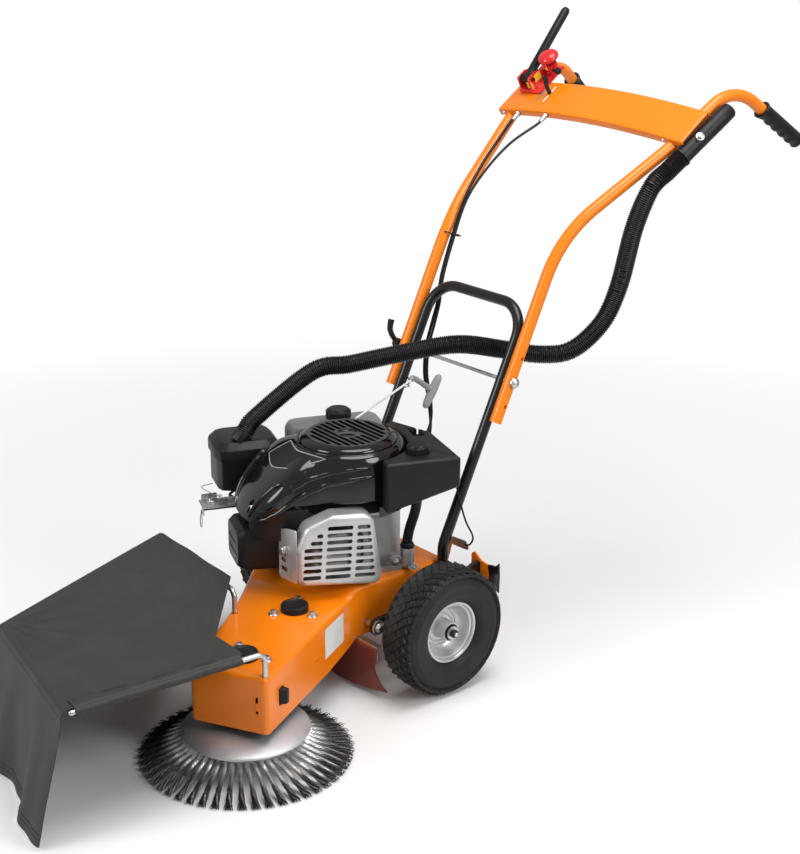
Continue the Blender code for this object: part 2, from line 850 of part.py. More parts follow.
def clamp_rod():
    """The rod through legs and handle tubes, with its round head on the left."""
    reach = HANDLE_X + HANDLE_R
    profile = [
        (0.0, reach + 0.010),
        (0.006, reach + 0.0085),
        (0.0105, reach + 0.004),
        (0.0115, reach + FIT * 2),
        (CLAMP_R, reach + FIT * 2),
        (CLAMP_R, -reach - 0.014),
        (0.0, -reach - 0.014),
    ]
    keep(turned(profile, 12), "clamp_rod", ZINC, ROOT, (0, CLAMP_Y, CLAMP_Z), (0, math.pi / 2, 0))


def clamp_lever():
    """The locking lever on the rod's right end: a hub with a swan-neck handle."""
    reach = HANDLE_X + HANDLE_R
    centre = empty("Clamp_axis", (-reach, CLAMP_Y, CLAMP_Z), ROOT)
    hub = keep(cylinder((-0.017, 0, 0), 0.016, 0.011, "X", 14), "clamp_lever", SATIN_BLACK, centre)
    cut(hub, tool(cylinder((-0.0145, 0, 0), 0.02, CLAMP_R + RUNNING_FIT, "X", 10), centre))
    neck = [
        (-0.009, -0.004, 0.004),
        (-0.012, -0.014, 0.018),
        (-0.018, -0.016, 0.034),
        (-0.020, -0.010, 0.052),
    ]
    neck = spread(smooth_route(neck, 8), 6)
    radii = [1.0 + 0.35 * (k / (len(neck) - 1)) for k in range(len(neck))]
    fuse(hub, tool(applied(tube(neck, 0.0052, 2, radii)), centre))


leg_hoop()
clamp_rod()
clamp_lever()


# Wheel carriers
ARM_IN = 0.1495
ARM_THICK = 0.010
PEDAL_Y = 0.176
PEDAL_Z = 0.186
WHEEL_ARM = empty("Wheel_arm_axis", (0, ARM_PIVOT_Y, ARM_PIVOT_Z), ROOT)
FROM_WHEEL_ARM = (0, -ARM_PIVOT_Y, -ARM_PIVOT_Z)


def stub_axle(side, start):
    """Axle pin with its collar and nut, in wheel coordinates along X."""
    out = RIM_WIDTH / 2
    profile = [
        (0.0, out + 0.012),
        (0.006, out + 0.012),
        (0.0085, out + 0.009),
        (0.0085, out + 0.0005),
        (0.0142, out + 0.0003),
        (0.0142, HUB_FACE + FIT),
        (AXLE_R, HUB_FACE + FIT),
        (AXLE_R, -out - FIT),
        (0.015, -out - FIT * 2),
        (0.015, start - WHEEL_X),
        (0.0, start - WHEEL_X),
    ]
    made = turned(profile, 10)
    return tool(made, ROOT, (side * WHEEL_X, 0, TYRE_R), (0, side * math.pi / 2, 0))


def wheel_arm():
    """The near wheel hangs on a steel arm that swings about a bolt; a pedal sets it."""
    outline = [
        (ARM_PIVOT_Y - 0.016, ARM_PIVOT_Z - 0.006),
        (ARM_PIVOT_Y - 0.012, ARM_PIVOT_Z + 0.013),
        (ARM_PIVOT_Y + 0.006, ARM_PIVOT_Z + 0.018),
        (0.020, TYRE_R + 0.020),
        (0.060, TYRE_R + 0.026),
        (PEDAL_Y - 0.020, PEDAL_Z + 0.010),
        (PEDAL_Y - 0.006, PEDAL_Z + 0.010),
        (PEDAL_Y - 0.006, PEDAL_Z - 0.020),
        (0.070, TYRE_R - 0.006),
        (0.020, TYRE_R - 0.022),
        (-0.018, TYRE_R - 0.022),
        (ARM_PIVOT_Y + 0.010, ARM_PIVOT_Z - 0.016),
        (ARM_PIVOT_Y - 0.008, ARM_PIVOT_Z - 0.016),
    ]
    plate = side_plate(outline, ARM_THICK, ARM_IN + ARM_THICK / 2)
    arm = keep(plate, "wheel_arm", SATIN_BLACK, WHEEL_ARM, FROM_WHEEL_ARM)
    hole = cylinder((ARM_IN - 0.01, 0, 0), 0.04, PIVOT_R + RUNNING_FIT, "X", 10)
    cut(arm, tool(hole, WHEEL_ARM))
    fuse(arm, stub_axle(1, ARM_IN + ARM_THICK / 2))


def side_plate(outline, thickness, x):
    """A flat plate from (y, z) points, standing at a given x."""
    plate = applied(flat(outline, thickness))
    plate.data.transform(Matrix.Translation((x, 0, 0)) @ UPRIGHT)
    return plate


def front_plate(outline, thickness, y):
    """A flat plate from (x, z) points, standing at a given y."""
    plate = applied(flat(outline, thickness))
    plate.data.transform(Matrix.Translation((0, y, 0)) @ Matrix.Rotation(math.pi / 2, 4, "X"))
    return plate


UPRIGHT = Matrix(((0, 0, 1, 0), (1, 0, 0, 0), (0, 1, 0, 0), (0, 0, 0, 1)))


def pivot_bolt():
    """The bolt that the near wheel's arm swings on, through the deck's side."""
    outside = ARM_IN + ARM_THICK + FIT
    inside = PLATFORM_HALF - SHEET - FIT
    profile = [
        (0.0, outside + 0.012),
        (0.0080, outside + 0.012),
        (0.0095, outside + 0.003),
        (0.0150, outside + 0.003),
        (0.0150, outside),
        (PIVOT_R, outside),
        (PIVOT_R, inside),
        (0.0110, inside),
        (0.0110, inside - 0.006),
        (0.0, inside - 0.006),
    ]
    bolt = turned(profile, 10)
    keep(bolt, "arm_pivot_bolt", ZINC, ROOT, (0, ARM_PIVOT_Y, ARM_PIVOT_Z), (0, math.pi / 2, 0))


def fixed_axle():
    """The far wheel's axle on a plate that is bolted to the deck's side."""
    thick = 0.006
    half = [(0.045, 0.120), (0.050, 0.130), (0.030, 0.160)]
    outline = half + [(-y, z) for y, z in reversed(half)]
    inside = -PLATFORM_HALF - FIT
    plate = side_plate(outline, thick, inside - thick / 2)
    carrier = keep(plate, "right_axle_arm", SATIN_BLACK, ROOT)
    fuse(carrier, stub_axle(-1, -inside + thick / 2))


def foot_pedal():
    """A curved tread plate on the end of the wheel arm, its outer corner turned up."""
    outline = [
        (0.132, 0.150),
        (0.175, 0.146),
        (0.222, 0.150),
        (0.2235, 0.190),
        (0.220, 0.214),
        (0.206, 0.201),
        (0.185, 0.194),
        (0.160, 0.198),
        (0.140, 0.211),
        (0.132, 0.205),
    ]
    thick = 0.004
    plate = front_plate(outline, thick, PEDAL_Y - 0.006 + FIT + thick / 2)
    keep(plate, "foot_pedal", ORANGE, WHEEL_ARM, FROM_WHEEL_ARM)


wheel_arm()
pivot_bolt()
fixed_axle()
foot_pedal()


# Flap behind the brush
FLAP_HALF = 0.186
FLAP_Y = -0.1260
FLAP_TOP = 0.100
FLAP_LOW = 0.006
FLAP_THICK = 0.003


def flap_bracket():
    """A steel angle under the deck with two tabs that stand inside its side walls."""
    front = FLAP_Y + FLAP_THICK / 2 + FIT
    top = STEP_BOTTOM_Z - FIT
    bm = bmesh.new()
    add_box(bm, (-FLAP_HALF, front, top - 0.024), (FLAP_HALF, front + 0.0025, top))
    strip = from_bmesh(bm)
    angle = keep(strip, "flap_bracket", ZINC, ROOT)
    reach = FLAP_HALF - 0.003
    ledge = box((-reach, front + 0.001, top - 0.0025), (reach, front + 0.014, top - 0.0003))
    fuse(angle, tool(ledge, ROOT))
    inner = PLATFORM_HALF - SHEET - FIT
    for side in (-1, 1):
        ends = sorted((side * inner, side * (inner - 0.003)))
        tab = box((ends[0], front + 0.0005, top - 0.004), (ends[1], front + 0.0145, top + 0.014))
        fuse(angle, tool(tab, ROOT))


def rear_flap():
    """A rubber sheet whose lower left corner curls outward."""
    columns, rows = 8, 4
    bm = bmesh.new()
    grid = []
    for row in range(rows + 1):
        low = row / rows
        height = FLAP_TOP + (FLAP_LOW - FLAP_TOP) * low
        line = []
        for column in range(columns + 1):
            across = -FLAP_HALF + 2 * FLAP_HALF * column / columns
            corner = max(0.0, (column - columns + 2) / 2)
            curl = corner * max(0.0, (low - 0.4) / 0.6)
            wave = 0.002 * low * math.sin(column * 1.3)
            x = across - 0.012 * corner + 0.026 * curl
            y = FLAP_Y - 0.004 * low - wave + 0.018 * curl**2
            line.append(bm.verts.new((x, y, height + 0.006 * curl)))
        grid.append(line)
    for upper, lower in zip(grid, grid[1:]):
        for a, b, c, d in zip(upper, upper[1:], lower[1:], lower):
            bm.faces.new((a, b, c, d))
    sheet = from_bmesh(bm)
    wall = sheet.modifiers.new("Wall", "SOLIDIFY")
    wall.thickness = FLAP_THICK
    wall.offset = 0.0
    keep(sheet, "rear_flap", FLAP_RED, ROOT)


flap_bracket()
rear_flap()


# Engine: crankcase with its finned cylinder, covers, tank and air intake
BLOCK_TOP = 0.3435
BLOWER_R = 0.120
BLOWER_TOP = 0.470
GRILLE_R = 0.0965
GRILLE_HOLE_R = 0.088
PORT_OUT = 0.0700
MUFFLER_Z = 0.290
FILTER_LOW = 0.345
CARB_Z = 0.305
OIL_BOSS = (0.074, 0.100)
OIL_BOSS_TOP = 0.256


def plan(x0, x1, y0, y1, radius, steps=2):
    """A rectangle with round corners."""
    corners = [(x0, y0, 0), (x1, y0, 0), (x1, y1, 0), (x0, y1, 0)]
    return [(point.x, point.y) for point in rounded(corners, radius, steps, True)]


def loft(rings):
    """A closed body through rings of equal count."""
    bm = bmesh.new()
    rows = [[bm.verts.new(point) for point in ring] for ring in rings]
    count = len(rows[0])
    for first, second in zip(rows, rows[1:]):
        for k in range(count):
            after = (k + 1) % count
            bm.faces.new((first[k], first[after], second[after], second[k]))
    bm.faces.new(list(reversed(rows[0])))
    bm.faces.new(rows[-1])
    return from_bmesh(bm)


def stacked(levels):
    """A body through flat outlines at given heights."""
    return loft([[(x, y, height) for x, y in outline] for height, outline in levels])


def engine_point(x, y, z):
    turn = Matrix.Rotation(ENGINE_YAW, 3, "Z")
    return Vector((ENGINE_X, ENGINE_Y, 0)) + turn @ Vector((x, y, z))


def crankcase():
    seat = PLATFORM_Z + FIT
    foot = plan(-0.088, 0.086, -0.080, 0.112, 0.030, 1)
    case = plan(-0.066, 0.066, -0.064, 0.096, 0.026, 1)
    table = plan(-0.108, 0.090, -0.104, 0.108, 0.045, 1)
    shelf = BLOCK_TOP - 0.006
    levels = [
        (seat, foot),
        (seat + 0.010, foot),
        (seat + 0.010, case),
        (shelf, case),
        (shelf, table),
        (BLOCK_TOP, table),
    ]
    block = keep(stacked(levels), "crankcase", ALUMINIUM, ENGINE)
    rings = []
    core = [(-0.046, 0.236), (0.046, 0.236), (0.046, 0.324), (-0.046, 0.324)]
    fin = [(-0.062, 0.226), (0.062, 0.226), (0.062, 0.334), (-0.062, 0.334)]
    outlines = [(-0.050, core)]
    for k in range(5):
        back = -0.074 - 0.016 * k
        outlines += [(back, core), (back, fin), (back - 0.004, fin), (back - 0.004, core)]
    outlines.append((-0.150, core))
    for y, outline in outlines:
        rings.append([(x, y, z) for x, z in outline])
    cylinder_block = loft(rings)
    fuse(block, tool(cylinder_block, ENGINE))
    exhaust = cylinder((0.03, -0.100, MUFFLER_Z), PORT_OUT - 0.03, 0.015, "X", 10)
    inlet = cylinder((-PORT_OUT, -0.118, CARB_Z), PORT_OUT - 0.03, 0.014, "X", 10)
    filler = cylinder((*OIL_BOSS, seat + 0.004), OIL_BOSS_TOP - seat - 0.004, 0.0145, sides=10)
    for piece in (exhaust, inlet, filler):
        fuse(block, tool(piece, ENGINE))
    cut(block, tool(cylinder((0, 0, 0.20), 0.16, CRANK_R + RUNNING_FIT, sides=12), ENGINE))


def valve_cover():
    rings = []
    stages = [
        (-0.1503, 0.0, 0.0),
        (-0.156, 0.0, 0.0),
        (-0.156, 0.005, 0.005),
        (-0.222, 0.008, 0.008),
        (-0.235, 0.016, 0.016),
    ]
    for y, side, edge in stages:
        outline = plan(-0.060 + side, 0.060 - side, 0.225 + edge, 0.330 - edge, 0.014)
        rings.append([(x, y, z) for x, z in outline])
    cover = keep(loft(rings), "valve_cover", SATIN_BLACK, ENGINE)
    for k in range(2):
        groove = box((-0.032, -0.24, 0.262 + 0.022 * k), (0.032, -0.2335, 0.268 + 0.022 * k))
        cut(cover, tool(groove, ENGINE))


def muffler():
    start = PORT_OUT + FIT
    rings = []
    for x, inset in ((start, 0.006), (start + 0.006, 0.0), (0.126, 0.0), (0.134, 0.008)):
        outline = plan(-0.114 + inset, -0.006 - inset, 0.246 + inset, 0.332 - inset, 0.016, 1)
        rings.append([(x, y, z) for y, z in outline])
    body = keep(loft(rings), "muffler", STEEL, ENGINE)
    for y in GUARD_BOSSES:
        boss = cylinder((0.12, y, MUFFLER_Z), GUARD_FACE - GUARD_SHEET - FIT - 0.12, 0.005, "X", 8)
        fuse(body, tool(boss, ENGINE))


GUARD_FACE = 0.145
GUARD_SHEET = 0.002
GUARD_BOSSES = (-0.0785, -0.0165)
GUARD_ROWS = 8
GUARD_PITCH = 0.0145
GUARD_SLOT = 0.0080


def muffler_guard():
    """A pressed cover with three columns of slots, open towards the muffler."""
    outline = [(-0.133, 0.232), (0.028, 0.229), (0.005, 0.356), (-0.058, 0.376), (-0.143, 0.350)]
    corners = [(y, z, 0.0) for y, z in outline]
    rim = rounded(corners, 0.010, 1, True)
    middle = Vector((-0.058, 0.298, 0))
    rings = []
    for x, shrink in ((0.096, 1.0), (GUARD_FACE - 0.006, 0.985), (GUARD_FACE, 0.93)):
        ring = [middle + (point - middle) * shrink for point in rim]
        rings.append([(x, point.x, point.y) for point in ring])
    bm = bmesh.new()
    rows = [[bm.verts.new(point) for point in ring] for ring in rings]
    count = len(rows[0])
    for first, second in zip(rows, rows[1:]):
        for k in range(count):
            after = (k + 1) % count
            bm.faces.new((first[k], first[after], second[after], second[k]))
    bm.faces.new(rows[-1])
    shell = from_bmesh(bm)
    wall = shell.modifiers.new("Wall", "SOLIDIFY")
    wall.thickness = GUARD_SHEET
    wall.offset = -1.0
    wall.use_even_offset = True
    guard = keep(shell, "muffler_guard", SILVER_PAINT, ENGINE)
    slots = bmesh.new()
    for row in range(GUARD_ROWS):
        low = 0.2430 + GUARD_PITCH * row
        narrow = max(0, row - 5) * 0.016
        ends = ((-0.122 + narrow, -0.086), (-0.071, -0.024), (-0.009, 0.010 - 0.0022 * row))
        for left, right in ends:
            if right - left > 0.012 and low < 0.350 - 0.25 * abs(left + 0.058):
                add_box(slots, (GUARD_FACE - 0.01, left, low), (GUARD_FACE + 0.01, right, low + GUARD_SLOT))
    cut(guard, tool(from_bmesh(slots), ENGINE))


BLOWER_LEVELS = (
    (BLOCK_TOP + FIT, 1.000, -0.215, 0.050),
    (0.412, 0.996, -0.160, 0.076),
    (0.446, 0.968, -0.128, 0.070),
    (0.464, 0.915, -0.108, 0.045),
    (BLOWER_TOP, 0.860, -0.1032, 0.026),
)


def blower_outline(radius, nose, half):
    """Round at the back, drawn out to a flat nose at the front."""
    ring = []
    for k in range(13):
        angle = math.radians(-30 + 20 * k)
        ring.append((radius * math.cos(angle), radius * math.sin(angle)))
    left, right = ring[-1], ring[0]
    bulge = 0.012 * min(1.0, (-nose - radius * 0.99) / 0.08) if -nose > radius else 0.0
    ring.append(((left[0] - half) / 2 - bulge, (left[1] + nose) / 2))
    ring.append((-half, nose))
    ring.append((half, nose))
    ring.append(((right[0] + half) / 2 + bulge, (right[1] + nose) / 2))
    return ring


def blower_cover():
    """The moulded fan housing: a shell open below, with a seat for the grille on top."""
    bm = bmesh.new()
    rows = []
    for height, share, nose, half in BLOWER_LEVELS:
        outline = blower_outline(BLOWER_R * share, nose, half)
        rows.append([bm.verts.new((x, y, height)) for x, y in outline])
    count = len(rows[0])
    for first, second in zip(rows, rows[1:]):
        for k in range(count):
            after = (k + 1) % count
            bm.faces.new((first[k], first[after], second[after], second[k]))
    bm.faces.new(rows[-1])
    shell = from_bmesh(bm)
    wall = shell.modifiers.new("Wall", "SOLIDIFY")
    wall.thickness = 0.003
    wall.offset = -1.0
    wall.use_even_offset = True
    cover = keep(shell, "blower_cover", GLOSS_BLACK, ENGINE)
    mouth = cylinder((0, 0, BLOWER_TOP - 0.02), 0.04, GRILLE_HOLE_R, sides=24)
    side = box((0.085, -0.150, BLOCK_TOP - 0.01), (0.16, 0.030, 0.381))
    keyhole = cylinder((0.046, -0.24, 0.374), 0.06, 0.009, "Y", 10)
    for piece in (mouth, side, keyhole):
        cut(cover, tool(piece, ENGINE))


SLOT_PITCH = 0.0135
SLOT_WIDTH = 0.0070
SLOT_TURN = math.radians(12)
SLOT_FIELD_R = 0.076


def starter_grille():
    """A low drum with two fields of parallel slots either side of its hub."""
    seat = BLOWER_TOP + FIT
    levels = ((seat, GRILLE_R), (seat + 0.002, GRILLE_R), (seat + 0.007, 0.092), (seat + 0.0115, 0.080))
    drum = stacked([(height, circle(radius, 24)) for height, radius in levels])
    dome = keep(drum, "starter_grille", GLOSS_BLACK, ENGINE)
    hollow = cylinder((0, 0, seat - 0.01), 0.0185, 0.079, sides=24)
    slots = bmesh.new()
    half = SLOT_WIDTH / 2
    for k in range(-5, 6):
        across = SLOT_PITCH * k
        end = math.sqrt(SLOT_FIELD_R**2 - across**2)
        inner = 0.026 if abs(k) < 2 else 0.006
        for side in (-1, 1):
            left, right = sorted((side * inner, side * end))
            if right - left > 0.012:
                add_box(slots, (left, across - half, seat), (right, across + half, seat + 0.03))
    slots.transform(Matrix.Rotation(SLOT_TURN, 4, "Z"))
    for piece in (hollow, from_bmesh(slots)):
        cut(dome, tool(piece, ENGINE))


def flywheel():
    low = FLYWHEEL_Z - 0.034
    bore = CRANK_R + FIT
    disc = turned([(bore, low + 0.008), (0.084, low + 0.008), (0.084, low), (bore, low)], 16, True)
    wheel = keep(disc, "flywheel_fan", ALUMINIUM, ENGINE)
    blades = bmesh.new()
    for k in range(FAN_BLADES):
        corners = add_box(blades, (0.046, -0.0015, low + 0.004), (0.081, 0.0015, low + 0.046))
        bmesh.ops.rotate(blades, verts=corners, matrix=Matrix.Rotation(math.tau * k / FAN_BLADES, 3, "Z"))
    fuse(wheel, tool(from_bmesh(blades), ENGINE))


REAR_TOP = 0.462
REAR_FRONT = 0.035
OIL_TUBE_R = 0.010
OIL_CAP = (0.093, 0.113)


def rear_cover():
    """The box behind the fan housing: its inner side follows the housing's round back."""
    inner = BLOWER_R + FIT
    arc = [
        (inner * math.cos(math.radians(angle)), inner * math.sin(math.radians(angle)))
        for angle in (130, 110, 90, 70, 50, 30, 10)
    ]
    share = (arc[-2][1] - REAR_FRONT) / (arc[-2][1] - arc[-1][1])
    arc[-1] = (arc[-2][0] + share * (arc[-1][0] - arc[-2][0]), REAR_FRONT)
    outline = [*arc, (0.145, REAR_FRONT), (0.145, 0.185), (-0.008, 0.176), (-0.094, 0.122)]
    low = [(x, y, 0.360 + 0.27 * (y - REAR_FRONT)) for x, y in outline]
    high = [(x, y, REAR_TOP) for x, y in outline]
    cover = keep(loft([low, high]), "rear_cover", SATIN_BLACK, ENGINE)
    bevel(cover, 0.004, 1, 60)
    pocket = box((-0.040, 0.134, REAR_TOP - 0.014), (0.010, 0.158, REAR_TOP + 0.01))
    tube_hole = cylinder((*OIL_CAP, 0.34), 0.14, OIL_TUBE_R + RUNNING_FIT, sides=14)
    dish = cylinder((*OIL_CAP, REAR_TOP - 0.008), 0.02, 0.024, sides=18)
    for piece in (pocket, tube_hole, dish):
        cut(cover, tool(piece, ENGINE))


def oil_tube():
    seat = OIL_BOSS_TOP + FIT
    bend = smooth_route(
        [
            (*OIL_BOSS, seat + 0.015),
            (0.079, 0.104, 0.300),
            (0.088, 0.110, 0.332),
            (*OIL_CAP, 0.362),
        ],
        2,
    )
    route = [(*OIL_BOSS, seat), *bend, (*OIL_CAP, 0.374), (*OIL_CAP, REAR_TOP - 0.0065)]
    keep(applied(tube(route, OIL_TUBE_R, 2)), "oil_tube", SATIN_BLACK, ENGINE)


def screw_cap(name, place, low, radius, height, ridges):
    """A round cap whose flank is ribbed by a star of grooves."""
    bm = bmesh.new()
    rings = []
    for level, share in ((0.0, 1.0), (0.8, 1.0), (1.0, 0.84)):
        ring = []
        for k in range(ridges * 2):
            reach = radius * share * (1.0 if k % 2 else 0.94)
            angle = math.tau * k / (ridges * 2)
            ring.append(bm.verts.new((reach * math.cos(angle), reach * math.sin(angle), level * height)))
        rings.append(ring)
    for first, second in zip(rings, rings[1:]):
        for k in range(ridges * 2):
            after = (k + 1) % (ridges * 2)
            bm.faces.new((first[k], first[after], second[after], second[k]))
    bm.faces.new(list(reversed(rings[0])))
    bm.faces.new(rings[-1])
    centre = empty(name + "_axis", (*place, low), ENGINE)
    keep(from_bmesh(bm), name, SATIN_BLACK, centre)


FUEL_CAP = (-0.137, 0.020)
TANK_TOP = 0.456


def fuel_tank():
    inner = -BLOWER_R * math.cos(math.radians(10)) - FIT
    levels = [
        (0.384, plan(-0.184, inner, -0.078, 0.106, 0.018)),
        (0.394, plan(-0.192, inner, -0.086, 0.114, 0.026)),
        (TANK_TOP - 0.010, plan(-0.192, inner, -0.086, 0.114, 0.026)),
        (TANK_TOP, plan(-0.184, inner, -0.078, 0.106, 0.018)),
    ]
    tank = keep(stacked(levels), "fuel_tank", GREY_PLASTIC, ENGINE)
    fuse(tank, tool(cylinder((*FUEL_CAP, TANK_TOP - 0.006), 0.0145, 0.0155, sides=14), ENGINE))


def air_filter():
    """The filter box with its lid, and the stub that takes the intake hose."""
    low = FILTER_LOW
    body = plan(-0.212, -0.100, -0.236, -0.112, 0.022)
    lid = plan(-0.216, -0.097, -0.240, -0.108, 0.024)
    top = plan(-0.204, -0.110, -0.228, -0.120, 0.020)
    box_made = stacked([(low, body), (0.408, body), (0.408, lid), (0.430, lid), (0.443, top)])
    housing = keep(box_made, "air_filter", SATIN_BLACK, ENGINE)
    foot = Vector(HOSE_START) - Vector(HOSE_AIM) * 0.024
    stub = tube([foot, Vector(HOSE_START)], 0.0175, 3)
    fuse(housing, tool(applied(stub), ROOT))


def carburettor():
    section = plan(-0.138, -0.100, -0.162, -0.112, 0.010, 1)
    body = stacked([(CARB_Z - 0.013, section), (FILTER_LOW - FIT, section)])
    body = keep(body, "carburettor", SATIN_BLACK, ENGINE)
    pipe = cylinder((-0.112, -0.118, CARB_Z), 0.112 - PORT_OUT - FIT, 0.012, "X", 12)
    fuse(body, tool(pipe, ENGINE))
    plate = box((-0.132, -0.275, 0.318), (-0.078, -0.150, 0.3202))
    fuse(body, tool(plate, ENGINE))


HOSE_START = (-0.1822, -0.1627, 0.4580)
HOSE_AIM = (0.1545, 0.6833, 0.7136)

crankcase()
valve_cover()
muffler()
muffler_guard()
blower_cover()
starter_grille()
flywheel()
rear_cover()
oil_tube()
screw_cap("oil_cap", OIL_CAP, REAR_TOP - 0.0062, 0.022, 0.024, 12)
fuel_tank()
screw_cap("fuel_cap", FUEL_CAP, TANK_TOP + 0.0085 + FIT, 0.0265, 0.020, 14)
air_filter()
carburettor()


# Handle: two tubes on the clamp rod, with grips at their ends
GRIP_LENGTH = 0.125
GRIP_R = 0.0165
HANDLE_BEND_R = 0.30
HANDLE_TOP_BEND_R = 0.09
CONSOLE_FRONT_Y = 0.604
CONSOLE_FRONT_Z = 1.000
HANDLE_PEAK_Y = 0.7606
HANDLE_PEAK_Z = 1.1096
GRIP_END_X = 0.295
GRIP_END_Y = 0.928
GRIP_END_Z = 0.980
CONSOLE_DEPTH = 0.093
CONSOLE_SHEET = 0.0025
CONSOLE_ARCH = 0.025
CONSOLE_LIP = 0.016


def handle_corners(side):
    slope = Vector((0.0, HOOP_Y - LEG_Y, HOOP_Z - LEG_BEND_Z)).normalized()
    clamp = Vector((side * HANDLE_X, CLAMP_Y, CLAMP_Z))
    return [
        clamp - slope * HANDLE_END,
        clamp + slope * 0.305,
        Vector((side * 0.230, CONSOLE_FRONT_Y, CONSOLE_FRONT_Z)),
        Vector((side * 0.250, HANDLE_PEAK_Y, HANDLE_PEAK_Z)),
        Vector((side * GRIP_END_X, GRIP_END_Y, GRIP_END_Z)),
    ]


def handle_route(side):
    corners = handle_corners(side)
    end = corners[-1] - (corners[-1] - corners[-2]).normalized() * 0.006
    route = rounded([*corners[:-1], end], [0, HANDLE_BEND_R, 0.5, HANDLE_TOP_BEND_R, 0], 4)
    return route


def handle_tube(name, side):
    bar = applied(tube(handle_route(side), HANDLE_R, 3))
    bar = keep(bar, name + "_handle_tube", ORANGE, HANDLE, FROM_HANDLE)
    start = min(side * (HANDLE_X - 0.03), side * (HANDLE_X + 0.03))
    rod_hole = cylinder((start, CLAMP_Y, CLAMP_Z), 0.06, CLAMP_R + RUNNING_FIT, "X", 8)
    cut(bar, tool(rod_hole, ROOT))


def aim(start, end):
    """The turn that points +Z from start to end."""
    return (end - start).to_track_quat("Z", "Y").to_euler()


def grip(name, side):
    """A rubber grip with five finger grooves, closed at its end."""
    corners = handle_corners(side)
    end = corners[-1]
    start = end - (end - corners[-2]).normalized() * GRIP_LENGTH
    sides = 10
    bore = (HANDLE_R + FIT) / math.cos(math.pi / sides)
    floor = GRIP_LENGTH - 0.0055
    profile = [(0.0, floor), (bore, floor), (bore, 0.0), (GRIP_R + 0.002, 0.0), (GRIP_R + 0.002, 0.004)]
    for k in range(10):
        profile.append((GRIP_R - (0.0018 if k % 2 == 0 else 0.0), 0.010 + 0.0115 * k))
    profile += [(GRIP_R, GRIP_LENGTH), (0.0, GRIP_LENGTH)]
    place = start + Vector(FROM_HANDLE)
    keep(turned(profile, sides), name + "_grip", RUBBER, HANDLE, place, aim(start, end))


for name, side in (("left", 1), ("right", -1)):
    handle_tube(name, side)
    grip(name, side)


# Console: an arched sheet on the handle tubes
DUCT_R = 0.0205
DUCT_BORE_R = 0.0165
DUCT_LENGTH = 0.150
SLOPE = math.atan2(HANDLE_PEAK_Z - CONSOLE_FRONT_Z, HANDLE_PEAK_Y - CONSOLE_FRONT_Y)
CONSOLE_PLACE = (0.0, CONSOLE_FRONT_Y - CLAMP_Y, CONSOLE_FRONT_Z - CLAMP_Z)
CONSOLE = empty("Console_plane", CONSOLE_PLACE, HANDLE, (SLOPE, 0, 0))
CONSOLE_SEAT = HANDLE_R + FIT


def duct_line():
    """The duct lies beside the handle tube, a little lower."""
    corners = handle_corners(1)
    ahead = (corners[3] - corners[2]).normalized()
    side = Vector((0.90, 0.0, -0.44)).normalized()
    side = (side - ahead * side.dot(ahead)).normalized()
    start = corners[2] - ahead * 0.012 + side * (HANDLE_R + DUCT_R + FIT)
    return start, start + ahead * DUCT_LENGTH


def console_point(x, y, z):
    """A place on the console: y up the slope, z square to it."""
    return Vector((x, CONSOLE_FRONT_Y, CONSOLE_FRONT_Z)) + Matrix.Rotation(SLOPE, 3, "X") @ Vector((0, y, z))


def arch_height(x):
    return CONSOLE_ARCH * (1 - (x / CONSOLE_HALF) ** 2)


def console():
    """Local y runs up the slope and local z stands square to it."""
    bm = bmesh.new()
    rows = []
    top = CONSOLE_SEAT + CONSOLE_SHEET
    for y, drop in ((0.0, CONSOLE_LIP), (0.0, 0.0), (CONSOLE_DEPTH, 0.0), (CONSOLE_DEPTH, 0.010)):
        row = []
        for k in range(13):
            x = CONSOLE_HALF * (k - 6) / 6
            row.append(bm.verts.new((x, y, top + arch_height(x) * math.cos(SLOPE) - drop)))
        rows.append(row)
    for first, second in zip(rows, rows[1:]):
        for k in range(12):
            bm.faces.new((first[k], first[k + 1], second[k + 1], second[k]))
    sheet = from_bmesh(bm)
    wall = sheet.modifiers.new("Wall", "SOLIDIFY")
    wall.thickness = CONSOLE_SHEET
    wall.offset = -1.0
    wall.use_even_offset = True
    cover = keep(sheet, "console", ORANGE, CONSOLE)
    for side in (-1, 1):
        notch = applied(tube(handle_route(side), HANDLE_R + 2 * FIT, 3))
        cut(cover, tool(notch, ROOT))
    start, end = duct_line()
    ahead = (end - start).normalized() * 0.02
    notch = applied(tube([start - ahead, end + ahead], DUCT_R + 2 * FIT, 3))
    cut(cover, tool(notch, ROOT))
    slot = box((THROTTLE_X - 0.004, 0.030, 0.0), (THROTTLE_X + 0.004, 0.084, 0.06))
    cut(cover, tool(slot, CONSOLE))
    cheek = box((THROTTLE_X + 0.0052, 0.050, -0.022), (THROTTLE_X + 0.0080, 0.066, 0.0285))
    fuse(cover, tool(cheek, CONSOLE))
    hole = cylinder((THROTTLE_X, 0.058, THROTTLE_PIVOT), 0.02, 0.003 + RUNNING_FIT, "X", 8)
    cut(cover, tool(hole, CONSOLE))


THROTTLE_X = -0.145
THROTTLE_PIVOT = -0.012


def throttle_lever():
    """A flat lever through the slot, on a pin in the cheek below."""
    centre = empty("Throttle_axis", (THROTTLE_X, 0.058, THROTTLE_PIVOT), CONSOLE)
    outline = [
        (-0.006, -0.006),
        (0.006, -0.006),
        (0.005, 0.058),
        (0.012, 0.066),
        (0.010, 0.084),
        (0.003, 0.086),
        (-0.004, 0.062),
    ]
    blade = side_plate(outline, 0.0025, 0.0)
    lever = keep(blade, "throttle_lever", SATIN_BLACK, centre)
    fuse(lever, tool(cylinder((0.0, 0, 0), 0.0095, 0.003, "X", 8), centre))


